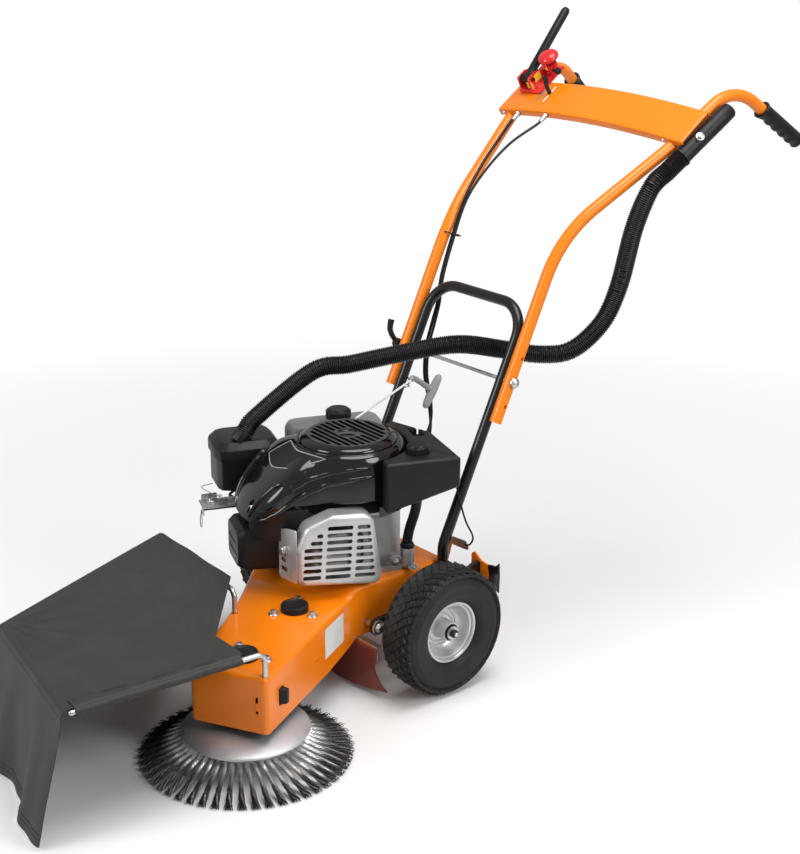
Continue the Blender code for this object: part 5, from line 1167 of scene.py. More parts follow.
# %% Deck sheet
ARM_HALF = 0.077
ARM_FRONT = 0.061
ARM_TOP = 0.195
PLATFORM_HALF = 0.1235
PLATFORM_TOP = 0.212
SHEET = 0.0025
fold_back = (0.19 + ARM_HALF * math.cos(ARM_YAW) - PLATFORM_HALF) / math.sin(ARM_YAW)
stations = [
    (arm_point(-ARM_HALF, -ARM_FRONT), arm_point(ARM_HALF, -ARM_FRONT), ARM_TOP, 0.085),
    (arm_point(-ARM_HALF - 0.04, 0.19), arm_point(ARM_HALF, 0.19), ARM_TOP, 0.085),
    (arm_point(-ARM_HALF - 0.073, 0.31), arm_point(ARM_HALF, fold_back), ARM_TOP, 0.093),
    (machine(-PLATFORM_HALF, -0.18, 0), machine(PLATFORM_HALF, -0.126, 0), PLATFORM_TOP, 0.107),
    (machine(-PLATFORM_HALF, 0.105, 0), machine(PLATFORM_HALF, 0.105, 0), PLATFORM_TOP, 0.112),
]
take(None)
bpy.ops.mesh.primitive_grid_add(x_subdivisions=3, y_subdivisions=4, size=1)
deck = bpy.context.object
for row, (left, right, top, bottom) in enumerate(stations):
    for column, (corner, height) in enumerate(((left, bottom), (left, top), (right, top), (right, bottom))):
        deck.data.vertices[row * 4 + column].co = (corner.x, corner.y, height)
for row in (0, 4):
    take(deck)
    bpy.ops.object.mode_set(mode="EDIT")
    bpy.ops.mesh.select_mode(type="VERT")
    bpy.ops.object.mode_set(mode="OBJECT")
    unmarked(deck)
    for column in range(4):
        deck.data.vertices[row * 4 + column].select = True
    bpy.ops.object.mode_set(mode="EDIT")
    bpy.ops.mesh.edge_face_add()
tidy(deck)
bevelled(deck, 0.009, 5, 9)
walled(deck, SHEET, -1.0, True)
print("deck faces before the holes:", len(deck.data.polygons))

# %% [markdown]
# The holes are cut last, by round cutters for the bearings, the guard's rods, the engine and the
# wheel arm's bolt, and by blocks for the slots in the arm's walls.

# %% Holes of the deck
CAP_HOLE = 0.021
ROD_HOLE = 0.0058
ENGINE_HOLE = 0.046
PIVOT_YZ = (-0.1, 0.134)
CAP_PLACES = (arm_point(0, 0, ARM_TOP), arm_point(0, 0.21, ARM_TOP))
ROD_HOLES = (
    arm_point(ARM_HALF - 0.009, -ARM_FRONT + 0.012, ARM_TOP),
    arm_point(-ARM_HALF - 0.022, 0.155, ARM_TOP),
)
SLOTS = (
    ((ARM_HALF - 0.01, 0.135, 0.1335), (ARM_HALF + 0.01, 0.153, 0.1352)),
    ((ARM_HALF - 0.01, -0.016, 0.12), (ARM_HALF + 0.01, 0.004, 0.155)),
    ((ARM_HALF - 0.024, -ARM_FRONT - 0.01, 0.123), (ARM_HALF - 0.0185, -ARM_FRONT + 0.01, 0.156)),
)
cutters = [drill(place, CAP_HOLE) for place in CAP_PLACES]
cutters += [drill(place, ROD_HOLE) for place in ROD_HOLES]
cutters += [drill(machine(*ENGINE_MIDDLE, PLATFORM_TOP), ENGINE_HOLE)]
cutters += [drill(machine(0.12, *PIVOT_YZ), 0.0068, (1, 0, 0))]
cutters += [settle(block(low, high), ARM) for low, high in SLOTS]
carve(deck, *cutters)
smooth(deck, 32)
done(deck, "pressed_deck", ORANGE, "chassis", "deck")
print("deck faces:", len(deck.data.polygons))

# %% [markdown]
# Two black covers close the bearing holes. Each is held by three bolts on a circle round it. The
# covers are lathe pieces with a soft rim and a shallow dish on top.

# %% Deck covers and their bolts
BOLT_CIRCLE = 0.043
COVER = (
    (0.0, 0.011), (0.0185, 0.011), (0.02, 0.0118), (0.0215, 0.013), (0.024, 0.013), (0.0258, 0.0122),
    (0.0266, 0.0104), (0.027, 0.0003), (0.02, 0.0003), (0.02, -0.002), (0.0, -0.002),
)
cover_form = turned(COVER, 64)
bolt_places = []
for name, place, turn in (("spindle", CAP_PLACES[0], 0.62), ("tensioner", CAP_PLACES[1], 0.25)):
    done(twin(cover_form, at(place)), name + "_round_cover", BLACK_PLASTIC, "chassis", name + "_cap")
    for angle in (math.tau * k / 3 + turn for k in range(3)):
        out = Vector((BOLT_CIRCLE * math.cos(angle), BOLT_CIRCLE * math.sin(angle), 0))
        bolt_places.append((place + out, UP))
discard(cover_form)
fastener(flange_bolt, "cover_bolts", 0.0148, bolt_places, "chassis")
low_bolts = [(arm_point(x, -0.048, 0.085), -UP) for x in (-0.06, 0.062)]
fastener(flange_bolt, "front_lower_bolts", 0.01, low_bolts, "chassis")
foot_bolts = [(machine(side * (LEG_X + 0.0111), 0.089, 0.15), (side, 0, 0)) for side in (1, -1)]
fastener(flange_bolt, "leg_foot_bolts", 0.011, foot_bolts, "chassis")
print("deck bolts:", len(bolt_places + low_bolts + foot_bolts))

# %% [markdown]
# The arm's wall carries a rubber stop and a rating plate that is left bare, and its front a small
# spring tab. Each is a block whose edges are rounded or whose outer face is drawn in.

# %% Stop, tab and bare plate of the deck
stop = block((ARM_HALF - 0.004, -0.0145, 0.1215), (ARM_HALF + 0.0125, 0.0025, 0.1535))
edit(stop, lambda middle, normal: normal.x > 0.9)
bpy.ops.transform.resize(value=(1, 0.55, 0.86))
bpy.ops.transform.translate(value=(0, 0.003, 0))
bevelled(stop, 0.0016, 3)
done(settle(smooth(stop), ARM), "rubber_stop", BLACK_RUBBER, "chassis")
tab_low = (ARM_HALF - 0.0235, -ARM_FRONT - 0.0022, 0.13)
tab_high = (ARM_HALF - 0.019, -ARM_FRONT + 0.004, 0.144)
done(settle(slab(tab_low, tab_high, 0.0006), ARM), "stop_spring_tab", ORANGE, "chassis")
label = block((0.0001, 0.18, 0.12), (0.001, 0.262, 0.18))
edit(label, lambda middle, normal: normal.x > 0.9)
bpy.ops.mesh.inset(thickness=0.0015, depth=0)
settle(label, ARM @ Matrix.Translation((ARM_HALF, 0, 0)))
done(label, "bare_rating_plate", BARE_LABEL, "chassis")
print("deck fittings made")

# %% [markdown]
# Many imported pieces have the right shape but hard, coarse corners. `dress` merges a copy of such a
# piece, joins its flat triangles into clean faces, rounds its edges with a small bevel and shades
# it smooth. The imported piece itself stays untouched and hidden.

# %% Dressed copies
def dress(node, name, edge, segments, finish):
    source = NODES[node]
    take(None)
    source.hide_viewport = False
    piece = source.copy()
    piece.data = source.data.copy()
    bpy.context.scene.collection.objects.link(piece)
    piece.parent = None
    piece.hide_viewport = False
    piece.hide_render = False
    for key in list(piece.keys()):
        del piece[key]
    edit(piece)
    bpy.ops.mesh.remove_doubles(threshold=0.00002)
    bpy.ops.mesh.dissolve_limited(angle_limit=math.radians(1.0))
    take(piece)
    if edge:
        bevelled(piece, edge, segments, 34)
    return done(smooth(piece, 40), name, finish or FINISH_OF[SLOT_OF[node]], BODY_OF[node], node)


DRESSED = (
    ("rear_cover", "moulded_rear_cover", 0.0022, 3, None),
    ("fuel_tank", "fuel_tank_shell", 0.003, 3, None),
    ("air_filter", "air_filter_housing", 0.0026, 3, None),
    ("valve_cover", "rocker_cover", 0.0022, 3, BLACK_PLASTIC),
    ("muffler", "silencer_box", 0.0016, 2, STEEL),
    ("crankcase", "cast_crankcase", 0.0012, 2, None),
    ("carburettor", "carburettor_body", 0.0008, 2, None),
    ("lock_bracket", "red_switch_bracket", 0.0008, 2, None),
    ("clamp_lever", "clamp_locking_lever", 0.0, 2, None),
    ("wheel_arm", "swinging_wheel_arm", 0.001, 2, None),
    ("right_axle_arm", "fixed_wheel_arm", 0.0008, 2, None),
    ("flap_bracket", "flap_holding_strip", 0.0005, 2, None),
    ("throttle_lever", "throttle_hand_lever", 0.0006, 2, None),
    ("clutch_lever", "brush_clutch_bar", 0.0, 2, None),
    ("belt_cover_plate", "belt_under_plate", 0.0004, 1, None),
    ("flywheel_fan", "cooling_fan", 0.0004, 1, None),
)
for node, name, edge, segments, finish in DRESSED:
    piece = dress(node, name, edge, segments, finish)
    print(name, len(piece.data.polygons))

# %% [markdown]
# A form that is neither turned nor bent is wrapped: a grid gets as many rows and columns as there
# are rings and points, and its points are moved onto them.

# %% Wrapped forms
def wrapped(rings, closed=False):
    """A grid whose rows are moved onto rings of points."""
    columns = len(rings[0]) + (1 if closed else 0)
    take(None)
    bpy.ops.mesh.primitive_grid_add(x_subdivisions=columns - 1, y_subdivisions=len(rings) - 1, size=1)
    piece = bpy.context.object
    for row, ring in enumerate(rings):
        for column in range(columns):
            piece.data.vertices[row * columns + column].co = ring[column % len(ring)]
    return tidy(piece, 0.00002)


print("wrapping ready")

# %% [markdown]
# The fan housing is the engine's glossy black shell: round behind, drawn out to a nose in front.
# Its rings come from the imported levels, with a smooth curve drawn through them, and the top ring
# turns in to the seat of the grille.

# %% Rings of the fan housing
BLOWER_TOP = 0.47
BLOWER_RADIUS = 0.12
LEVELS = (
    (0.3438, 1.0, -0.215, 0.06),
    (0.378, 1.0, -0.198, 0.074),
    (0.412, 0.996, -0.17, 0.08),
    (0.446, 0.968, -0.134, 0.074),
    (0.464, 0.915, -0.11, 0.05),
    (0.47, 0.86, -0.1032, 0.03),
)
SEAT = ((0.0985, 0.4706), (0.0975, 0.47), (0.0955, 0.4692), (0.09, 0.469), (0.089, 0.466))
level_line = flowing([level[:3] for level in LEVELS], 6)
half_line = flowing([(level[0], level[3], 0) for level in LEVELS], 6)
housing_rings = []
for (height, share, nose), (_, half, _) in zip(level_line, half_line):
    radius = BLOWER_RADIUS * share
    angles = [math.radians(-30 + 5 * k) for k in range(49)]
    ring = [Vector((radius * math.cos(angle), radius * math.sin(angle), height)) for angle in angles]
    bulge = 0.012 * clamped((-nose - radius * 0.99) / 0.08)
    left, right = ring[-1], ring[0]
    middle_left = Vector(((left.x - half) / 2 - bulge, (left.y + nose) / 2, height))
    middle_right = Vector(((right.x + half) / 2 + bulge, (right.y + nose) / 2, height))
    front = [left, middle_left, Vector((-half, nose, height)), Vector((half, nose, height)), middle_right, right]
    ring += flowing(front, 6)[1:-1]
    housing_rings.append(ring)
top_ring = housing_rings[-1]
for radius, height in SEAT:
    flat_ring = [Vector((point.x, point.y, 0)).normalized() * radius for point in top_ring]
    housing_rings.append([Vector((point.x, point.y, height)) for point in flat_ring])
print("rings of the housing:", len(housing_rings))

# %% [markdown]
# The rings become a shell with a wall. A wide mouth is cut over the cylinder on its side, and a
# keyhole in front.

# %% Shell of the fan housing
housing = wrapped(housing_rings, True)
walled(housing, 0.003, -1.0, True)
side_mouth = slab((0.085, -0.15, 0.33), (0.16, 0.03, 0.381), 0.01, 4)
keyhole = drill((0.046, -0.205, 0.374), 0.0085, (0, 1, 0), 0.07)
carve(housing, side_mouth, keyhole, block((0.043, -0.24, 0.356), (0.049, -0.17, 0.372)))
smooth(housing, 40)
print("fan housing faces:", len(housing.data.polygons))

# %% [markdown]
# A grained black skirt hangs from the nose's near side. Its upper rings are those of the housing, moved out a
# little, so above its edge it lies over the glossy housing as a matt sheet. That sheet is painted shade: it
# hides the housing's reflection of the lit orange deck. Two more rings below them carry its edge down in a
# curve.

# %% Skirt under the housing's nose, and a sheet of painted shade over it
SKIRT_AND_SHADE_GAP = 0.0007
chosen = [k for k, point in enumerate(housing_rings[0]) if point.x > 0.058 and point.y < -0.1]
skirt_and_shade_rings = []
for ring in housing_rings[5::-1]:
    outwards = [Vector((ring[k].x, ring[k].y * 0.5, 0)).normalized() * SKIRT_AND_SHADE_GAP for k in chosen]
    skirt_and_shade_rings.append([ring[k] + out for k, out in zip(chosen, outwards)])
rim_ring = skirt_and_shade_rings[-1]
for share in (0.5, 1.0):
    hanging = []
    for point in rim_ring:
        ahead = min(1.0, (-point.y - 0.1) / 0.03)
        aside = clamped((point.x - 0.056) / 0.012)
        drop = 0.004 + (0.008 + 0.024 * aside) * ahead**2 * (3 - 2 * ahead)
        hanging.append(point - Vector((0.0012 * share, 0, drop * share)))
    skirt_and_shade_rings.append(hanging)
skirt_and_shade_sheet = wrapped(skirt_and_shade_rings)
walled(skirt_and_shade_sheet, 0.0022, -1.0)
skirt_and_shade_sheet = smooth(bevelled(skirt_and_shade_sheet, 0.0005, 2, 50), 45)
# Painted shade: over the housing, this matt black sheet stands in for the dark reflection of the shaded deck.
done(settle(skirt_and_shade_sheet, ENGINE), "nose_skirt_and_shade_sheet", BLACK_PLASTIC, "chassis")
print("skirt faces:", len(skirt_and_shade_sheet.data.polygons))

# %% [markdown]
# Three moulded lines run down over the nose, and a ring seats the grille. Each line is a thin bar
# whose points are first moved onto the housing's surface and sunk a little, so that half of it
# shows.

# %% Moulded lines of the housing
SINK = 0.003
SEAT_RADIUS = 0.101
SWEEPS = (
    ((0.052, -0.206, 0.35), (0.062, -0.186, 0.374), (0.074, -0.158, 0.402), (0.088, -0.118, 0.424),
     (0.102, -0.076, 0.438), (0.112, -0.03, 0.446), (0.114, 0.02, 0.449)),
    ((0.068, -0.196, 0.348), (0.082, -0.164, 0.372), (0.096, -0.128, 0.396), (0.108, -0.09, 0.412),
     (0.118, -0.048, 0.424), (0.122, 0.0, 0.43), (0.12, 0.036, 0.432)),
    ((-0.052, -0.206, 0.35), (-0.062, -0.186, 0.374), (-0.074, -0.158, 0.402), (-0.084, -0.118, 0.43),
     (-0.09, -0.076, 0.452), (-0.094, -0.04, 0.462)),
)


def on_surface(piece, points, lift=0.0):
    """The nearest places to points on a piece, lifted off it along its normal."""
    placed = []
    for point in points:
        _, place, normal, _ = piece.closest_point_on_mesh(Vector(point))
        placed.append(place + normal * lift)
    return placed


lines = []
for sweep in SWEEPS:
    route = on_surface(housing, flowing(sweep, 8), -SINK)
    shares = [min(1.0, 0.08 + k / len(route)) for k in range(len(route))]
    lines.append(tube(route, 0.0062, [0.35 + 0.65 * math.sin(math.pi * share) ** 0.5 for share in shares], 5))
seat_ring = tube(oval(SEAT_RADIUS, SEAT_RADIUS, 72, 0.4692), 0.0024, None, 5, True)
housing = joined([housing, *lines, seat_ring])
done(settle(housing, ENGINE), "glossy_fan_housing", GLOSS_BLACK, "chassis", "blower_cover")
print("housing faces with its lines:", len(housing.data.polygons))

# %% [markdown]
# The label's panel is left bare. It is a small grid laid on the housing's surface, and a pale rim
# runs round it.

# %% Bare label of the housing
LABEL_TOP = ((-0.026, -0.114, 0.474), (0.034, -0.112, 0.472), (0.086, -0.07, 0.466))
LABEL_LOW = ((-0.048, -0.154, 0.446), (0.01, -0.164, 0.442), (0.07, -0.132, 0.444))
edges = list(zip(flowing(LABEL_TOP, 4), flowing(LABEL_LOW, 4)))
housing_copy = twin(housing, ENGINE.inverted())
panel_rows = []
for row in range(6):
    panel_rows.append(on_surface(housing_copy, [top.lerp(low, row / 5) for top, low in edges], 0.0006))
discard(housing_copy)
panel = wrapped(panel_rows)
walled(panel, 0.0006)
done(settle(smooth(panel, 40), ENGINE), "bare_cover_label", BLACK_PLASTIC, "chassis")
right_side, left_side = [row[-1] for row in panel_rows[1:-1]], [row[0] for row in panel_rows[-2:0:-1]]
rim = tube([*panel_rows[0], *right_side, *reversed(panel_rows[-1]), *left_side], 0.0011, None, 3, True)
done(settle(rim, ENGINE), "cover_label_rim", PALE_GREY, "chassis", slot="grey_plastic")
print("label faces:", len(panel.data.polygons))

# %% [markdown]
# The starter grille is a lathe piece with eleven rows of slots. Each slot's cutter is a block with
# round ends, as long as its row, and the three middle rows are split by the hub. All the cutters
# are joined, so a single Boolean opens every slot.

# %% Starter grille
SLOT_STEP = 0.0132
SLOT_HALF = 0.0042
SLOT_END = 0.004
FIELD_RADIUS = 0.0735
HUB_HALF = 0.025
GRILLE = (
    (0.0, 0.01), (0.015, 0.01), (0.0165, 0.0092), (0.018, 0.0092), (0.0195, 0.0104), (0.024, 0.0108),
    (0.074, 0.0112), (0.079, 0.0116), (0.082, 0.0114), (0.085, 0.01), (0.0905, 0.0082), (0.095, 0.0048),
    (0.0965, 0.0012), (0.0965, 0.0), (0.092, 0.0), (0.088, 0.005), (0.078, 0.0078), (0.0, 0.0078),
)
grille = turned([(radius, BLOWER_TOP + FIT + height) for radius, height in GRILLE], 96)
slots = []
for k in range(-5, 6):
    across = SLOT_STEP * k
    end = math.sqrt(FIELD_RADIUS**2 - across**2)
    spans = ((-end, -HUB_HALF), (HUB_HALF, end)) if abs(k) < 2 else ((-end, end),)
    for left, right in spans:
        low, high = (left, across - SLOT_HALF, BLOWER_TOP - 0.01), (right, across + SLOT_HALF, BLOWER_TOP + 0.03)
        slots.append(slab(low, high, SLOT_END, 4))
carve(grille, settle(joined(slots), Matrix.Rotation(math.radians(20), 4, "Z")))
smooth(grille, 35)
done(settle(grille, ENGINE), "slotted_starter_grille", GLOSS_BLACK, "chassis", "starter_grille")
screen = turned([(0.0, 0.4632), (0.086, 0.4632), (0.086, 0.4642), (0.0, 0.4642)], 64)
done(settle(screen, ENGINE), "grille_backing", BLACK_PLASTIC, "chassis")
cover_screws = [(engine_point(*place), UP) for place in ((0.0, -0.0995, 0.47), (0.1, -0.02, 0.46))]
fastener(flange_bolt, "housing_screws", 0.007, cover_screws, "chassis", BLACK_COAT)
print("slots in the grille:", len(slots))

# %% [markdown]
# Both filler caps are lathe pieces with finger ribs. The ribs come from moving the flank's
# points in and out as a wave round the cap. The top has a step, and the oil cap has a grip bar.

# %% Filler caps
def filler_cap(node, name, low, radius, height, ribs, depth, grip_bar):
    profile = [(0.0, 0.0), (radius * 0.97, 0.0), (radius, height * 0.06)]
    profile += [(radius, height * (0.1 + 0.08 * k)) for k in range(9)]
    profile += [(radius * 0.97, height * 0.8), (radius * 0.9, height * 0.84), (radius * 0.86, height * 0.84)]
    profile += [(radius * 0.83, height * 0.93), (radius * 0.76, height), (0.0, height)]
    cap = turned(profile, ribs * 6)
    for vertex in cap.data.vertices:
        if math.hypot(vertex.co.x, vertex.co.y) > radius * 0.96:
            wave = 0.5 + 0.5 * math.cos(ribs * math.atan2(vertex.co.y, vertex.co.x))
            vertex.co.x *= 1 - depth * wave
            vertex.co.y *= 1 - depth * wave
    if grip_bar:
        half = (radius * 0.66, 0.0035)
        cap = joined([cap, slab((-half[0], -half[1], height * 0.9), (*half, height + 0.0005), 0.0012)])
    settle(smooth(cap, 40), ENGINE @ Matrix.Translation(low))
    return done(cap, name, BLACK_PLASTIC, BODY_OF[node], node)


filler_cap("oil_cap", "ribbed_oil_cap", (0.093, 0.113, 0.4558), 0.0218, 0.0235, 12, 0.06, True)
filler_cap("fuel_cap", "ribbed_fuel_cap", (-0.137, 0.02, 0.4648), 0.0261, 0.02, 20, 0.045, False)
print("caps made")

# %% [markdown]
# The tube that the oil cap closes is bent, so it is a swept bar, with a turned seal at its foot.

# %% Oil tube
OIL_ROUTE = (
    (0.074, 0.1, 0.2568), (0.074, 0.1, 0.271), (0.079, 0.104, 0.3), (0.088, 0.11, 0.332),
    (0.093, 0.113, 0.362), (0.093, 0.113, 0.41), (0.093, 0.113, 0.4545),
)
SEAL = (
    (0.0096, 0.0), (0.014, 0.0), (0.0146, 0.0012), (0.0146, 0.0034), (0.0126, 0.0046), (0.0122, 0.008),
    (0.0112, 0.0096), (0.0096, 0.01),
)
pipe = tube(flowing(OIL_ROUTE, 10), 0.01, None, 7)
seal = settle(turned(SEAL, 40, closed=True), Matrix.Translation(OIL_ROUTE[0]))
done(settle(joined([pipe, seal]), ENGINE), "bent_oil_tube", BLACK_PLASTIC, "chassis", "oil_tube")
print("engine top made")

# %% [markdown]
# The debris guard is coated cloth over two zinc rods. The rods are bent bar with domed ends, as a
# bending press makes them. They stand in holes of the deck and lift out with the cloth.

# %% Guard rods
ROD_Z = 0.24
ROD_RADIUS = 0.005
ROD_FOOT = 0.15
ROD_BEND = 0.016
GUARD_EDGE = (Vector((0.238, -0.824)), Vector((-0.108, -0.752)), Vector((-0.271, -0.309)))


def domed_rod(points, radius):
    """A bar whose ends shrink over the last few points."""
    points = [Vector(point) for point in points]
    shares = (1.0, 0.96, 0.82, 0.58, 0.2)
    first = (points[1] - points[0]).normalized()
    last = (points[-1] - points[-2]).normalized()
    steps = [radius * math.sin(math.acos(share)) for share in shares]
    low = [points[0] + first * (radius - step) for step in reversed(steps)]
    high = [points[-1] - last * (radius - step) for step in steps]
    sizes = [*reversed(shares), *([1.0] * (len(points) - 2)), *shares]
    return tube([*low, *points[1:-1], *high], radius, sizes, 7)


def guard_bar(hole, corners):
    """A rod that rises from its hole in the deck and runs on along the guard's edge."""
    foot, top = Vector((hole.x, hole.y, ROD_FOOT)), Vector((hole.x, hole.y, ROD_Z))
    route = [foot, top, *(machine(point.x, point.y, ROD_Z) for point in corners)]
    return domed_rod(rounded(route, [ROD_BEND, ROD_BEND], 8), ROD_RADIUS)


rods = [guard_bar(ROD_HOLES[0], GUARD_EDGE[:1]), guard_bar(ROD_HOLES[1], reversed(GUARD_EDGE[1:]))]
done(joined(rods), "guard_rods_bent", ZINC, "guard", "guard_front_rod", "guard_rear_rod")
print("guard rods made")

# %% [markdown]
# The cloth is cut as one piece. It is a grid: each column runs from the inner edge across the top,
# over the rod and down to the ground. Sag, creases from the corner and hanging folds are moves of
# its points. It hangs from the rods, so it keeps the cut size.

# %% Shape of the guard cloth
CLOTH = 0.0015
CLOTH_TOP = ROD_Z + ROD_RADIUS + CLOTH + 0.002
SHOULDER = 0.0107
TOP_SHARE = 0.52
CLOTH_INNER = (Vector((0.262, -0.492)), Vector((0.176, -0.489)), Vector((-0.01, -0.325)))
CLOTH_OUT = (Vector((-0.2, -0.98)), Vector((-0.62, -0.78)), Vector((-0.92, -0.05)))
CLOTH_REACH = (Vector((0.052, 0)), Vector((0.04, 0)), Vector((0.026, 0)))
HANG = (
    (0.195, 0.15, 0.1), (0.15, 0.35, 0.4), (0.108, 0.55, 0.7), (0.065, 0.75, 1.0), (0.034, 0.88, 1.2),
    (0.006, 1.0, 1.4),
)


def between(points, share):
    index = min(int(share), len(points) - 2)
    return points[index].lerp(points[index + 1], share - index)


def cloth_column(share, proud=0.0):
    """One line of the cloth, from its inner edge over the rod down to its hem."""
    point, root = between(GUARD_EDGE, share), between(CLOTH_INNER, share)
    away, flare = between(CLOTH_OUT, share).normalized(), between(CLOTH_REACH, share).x
    inward = (root - point).normalized()
    fold = 0.009 * math.sin(share * 6 * 1.55) + 0.0022 * math.sin(share * 27 + 1.0)
    line = [(*root.lerp(point, k / 8), CLOTH_TOP) for k in range(8)]
    line += [(*(point + inward * 0.012), CLOTH_TOP), (*(point + inward * 0.003), CLOTH_TOP - 0.0002)]
    line += [(*(point + away * 0.0065), CLOTH_TOP - 0.0022), (*(point + away * SHOULDER), ROD_Z + 0.001)]
    for height, part, swing in HANG:
        line.append((*(point + away * (SHOULDER + proud + flare * part + fold * swing)), height))
    return flowing(line, 4)


def creased(place, share, row, rows):
    """Sag between the rods, and fine creases that spread from the corner."""
    across = min(1.0, row / (rows * TOP_SHARE))
    flat = Vector((place.x, place.y)) - GUARD_EDGE[1]
    spread = math.atan2(flat.y, flat.x)
    near = math.exp(-((flat.length / 0.17) ** 2)) * min(1.0, flat.length / 0.05)
    lift = 0.003 * math.sin(13 * spread + 1.1) * near
    lift -= 0.0085 * math.sin(math.pi * across) * math.sin(math.pi * min(1.0, 0.12 + share / 2.2))
    lift += 0.0012 * math.sin(place.x * 46 + place.y * 31) * math.sin(math.pi * across)
    return lift if row < rows * TOP_SHARE else 0.0


print("a point of the cloth's hem:", cloth_column(1.0)[-1])

# %% [markdown]
# The grid is filled column by column. Then the cloth gets its thickness, half to each side.

# %% Guard cloth
def area_of(piece):
    return sum(face.area for face in piece.data.polygons)


cloth_rows = []
COLUMNS = 96
for column in range(COLUMNS + 1):
    share = 2 * column / COLUMNS
    line = cloth_column(share)
    rows = len(line)
    cloth_rows.append([machine(p.x, p.y, p.z + creased(p, share, row, rows)) for row, p in enumerate(line)])
cloth = wrapped(cloth_rows)
walled(cloth, CLOTH)
smooth(cloth, 60)

# %% [markdown]
# A sleeve wraps the front rod, and a hem runs along the cloth's lower edge. Both are thinner grids
# that lie close on the cloth.

# %% Sleeve and hem of the cloth
SLEEVE_STEPS = 60
sleeve_start, sleeve_end = Vector((0.2684, -0.5)), Vector((0.239, -0.8125))
sleeve_way = (sleeve_end - sleeve_start).normalized()
sleeve_in = Vector((sleeve_way.y, -sleeve_way.x))
sleeve_rings = []
for k in range(SLEEVE_STEPS + 1):
    share = k / SLEEVE_STEPS
    base = sleeve_start.lerp(sleeve_end, share)
    width = 0.014 + 0.013 * share + 0.0012 * math.sin(share * 19)
    ripple = 0.0004 * math.sin(share * 23) + 0.0002 * math.sin(share * 61)
    profile = [(width, 0.0098), (width * 0.7, 0.01 + ripple), (0.006, 0.0098 + ripple), (0.002, 0.009)]
    for turn in range(11):
        angle = math.radians(90 + 24 * turn)
        radius = 0.0076 + (ripple if 2 < turn < 9 else 0)
        profile.append((radius * math.cos(angle), radius * math.sin(angle)))
    profile += [(0.01, -0.003), (width * 0.8, 0.003)]
    sleeve_rings.append([machine(*(base + sleeve_in * out), ROD_Z + height) for out, height in profile])
hem_lines = []
for column in range(COLUMNS + 1):
    hem_lines.append([machine(*point) for point in cloth_column(2 * column / COLUMNS, 0.0011)[-4:]])
sleeve, hem = walled(wrapped(sleeve_rings), 0.001), walled(wrapped(hem_lines), 0.001)
print("sleeve area", round(area_of(sleeve), 4))

# %% [markdown]
# The fabric is woven. Three waves, one for each axis, make threads on every side of the cloth, and
# a broad noise makes its scuffs.

# %% Fabric of the cloth
fabric = Finish("coated_guard_fabric", (0.03, 0.029, 0.028), 0.6)
threads = []
for axis in ("X", "Y", "Z"):
    wave = {"wave_type": "BANDS", "bands_direction": axis, "wave_profile": "SIN"}
    sockets = {"Vector": fabric.place(), "Scale": 320.0, "Distortion": 0.4}
    threads.append(fabric.node("ShaderNodeTexWave", wave, sockets, 1))
weave = (threads[0] + threads[1] + threads[2]) * 0.33
scuffs = fabric.ramp(fabric.noise(14.0, 4.0), 0.48, 0.72)
fabric_tone = fabric.blend(scuffs * 0.25 + weave * 0.35, (0.017, 0.0162, 0.0155, 1), (0.037, 0.035, 0.033, 1))
fabric.bump(weave + fabric.noise(60.0, 3.0) * 0.8, 0.3, 0.0006)
FABRIC = fabric.wears(Base_Color=fabric_tone, Roughness=0.54 + weave * 0.12 - scuffs * 0.06)
CLOTH_SLOT = SLOT_OF["guard_cloth"]
done(cloth, "guard_cloth_draped", FABRIC, "guard", "guard_cloth")
sleeve = done(joined([sleeve, hem]), "cloth_sleeve_and_hem", FABRIC, "guard", slot=CLOTH_SLOT)
print("cloth finished")

# %% [markdown]
# Stitches hold the sleeve and the hem. A stitch line is a fine tube whose thickness rises and
# falls every few millimetres, so it dips into the cloth between two stitches.

# %% Stitches
HEM_ROW = -3
SEAM_ROWS = ((-27, COLUMNS // 2), (-24, COLUMNS // 2), (HEM_ROW, COLUMNS))


def stitch_line(points, length=0.0034):
    route = even(points, length / 4)
    sizes = [(0.1, 0.8, 1.0, 0.8)[k % 4] for k in range(len(route))]
    return tube(route, 0.00045, sizes, 1)


seams = []
outward = machine(*(-sleeve_in), 0) - machine(0, 0, 0)
for inset in (0.0045, 0.0085):
    seams.append(stitch_line([ring[0] + UP * 0.0007 + outward * inset for ring in sleeve_rings[1:-1]]))
for row, columns in SEAM_ROWS:
    line = []
    for share in (2 * column / COLUMNS for column in range(columns + 1)):
        place = cloth_column(share, 0.0004)[row]
        away = between(CLOTH_OUT, share).normalized() * (0.002 if row == HEM_ROW else 0.0007)
        line.append(machine(place.x + away.x, place.y + away.y, place.z))
    seams.append(stitch_line(line))
thread = Finish("dark_thread", (0.004, 0.004, 0.004), 0.55)
THREAD = thread.wears(Roughness=0.45 + thread.noise(900.0, 2.0) * 0.2)
stitches = done(joined(seams), "seam_stitches", THREAD, "guard", slot=CLOTH_SLOT)
print("stitch lines:", len(seams))

# %% [markdown]
# The rear flap is a rubber sheet that hangs from a steel strip and curls at its free corner. It
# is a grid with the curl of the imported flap, drawn finer, and a worn lower edge.

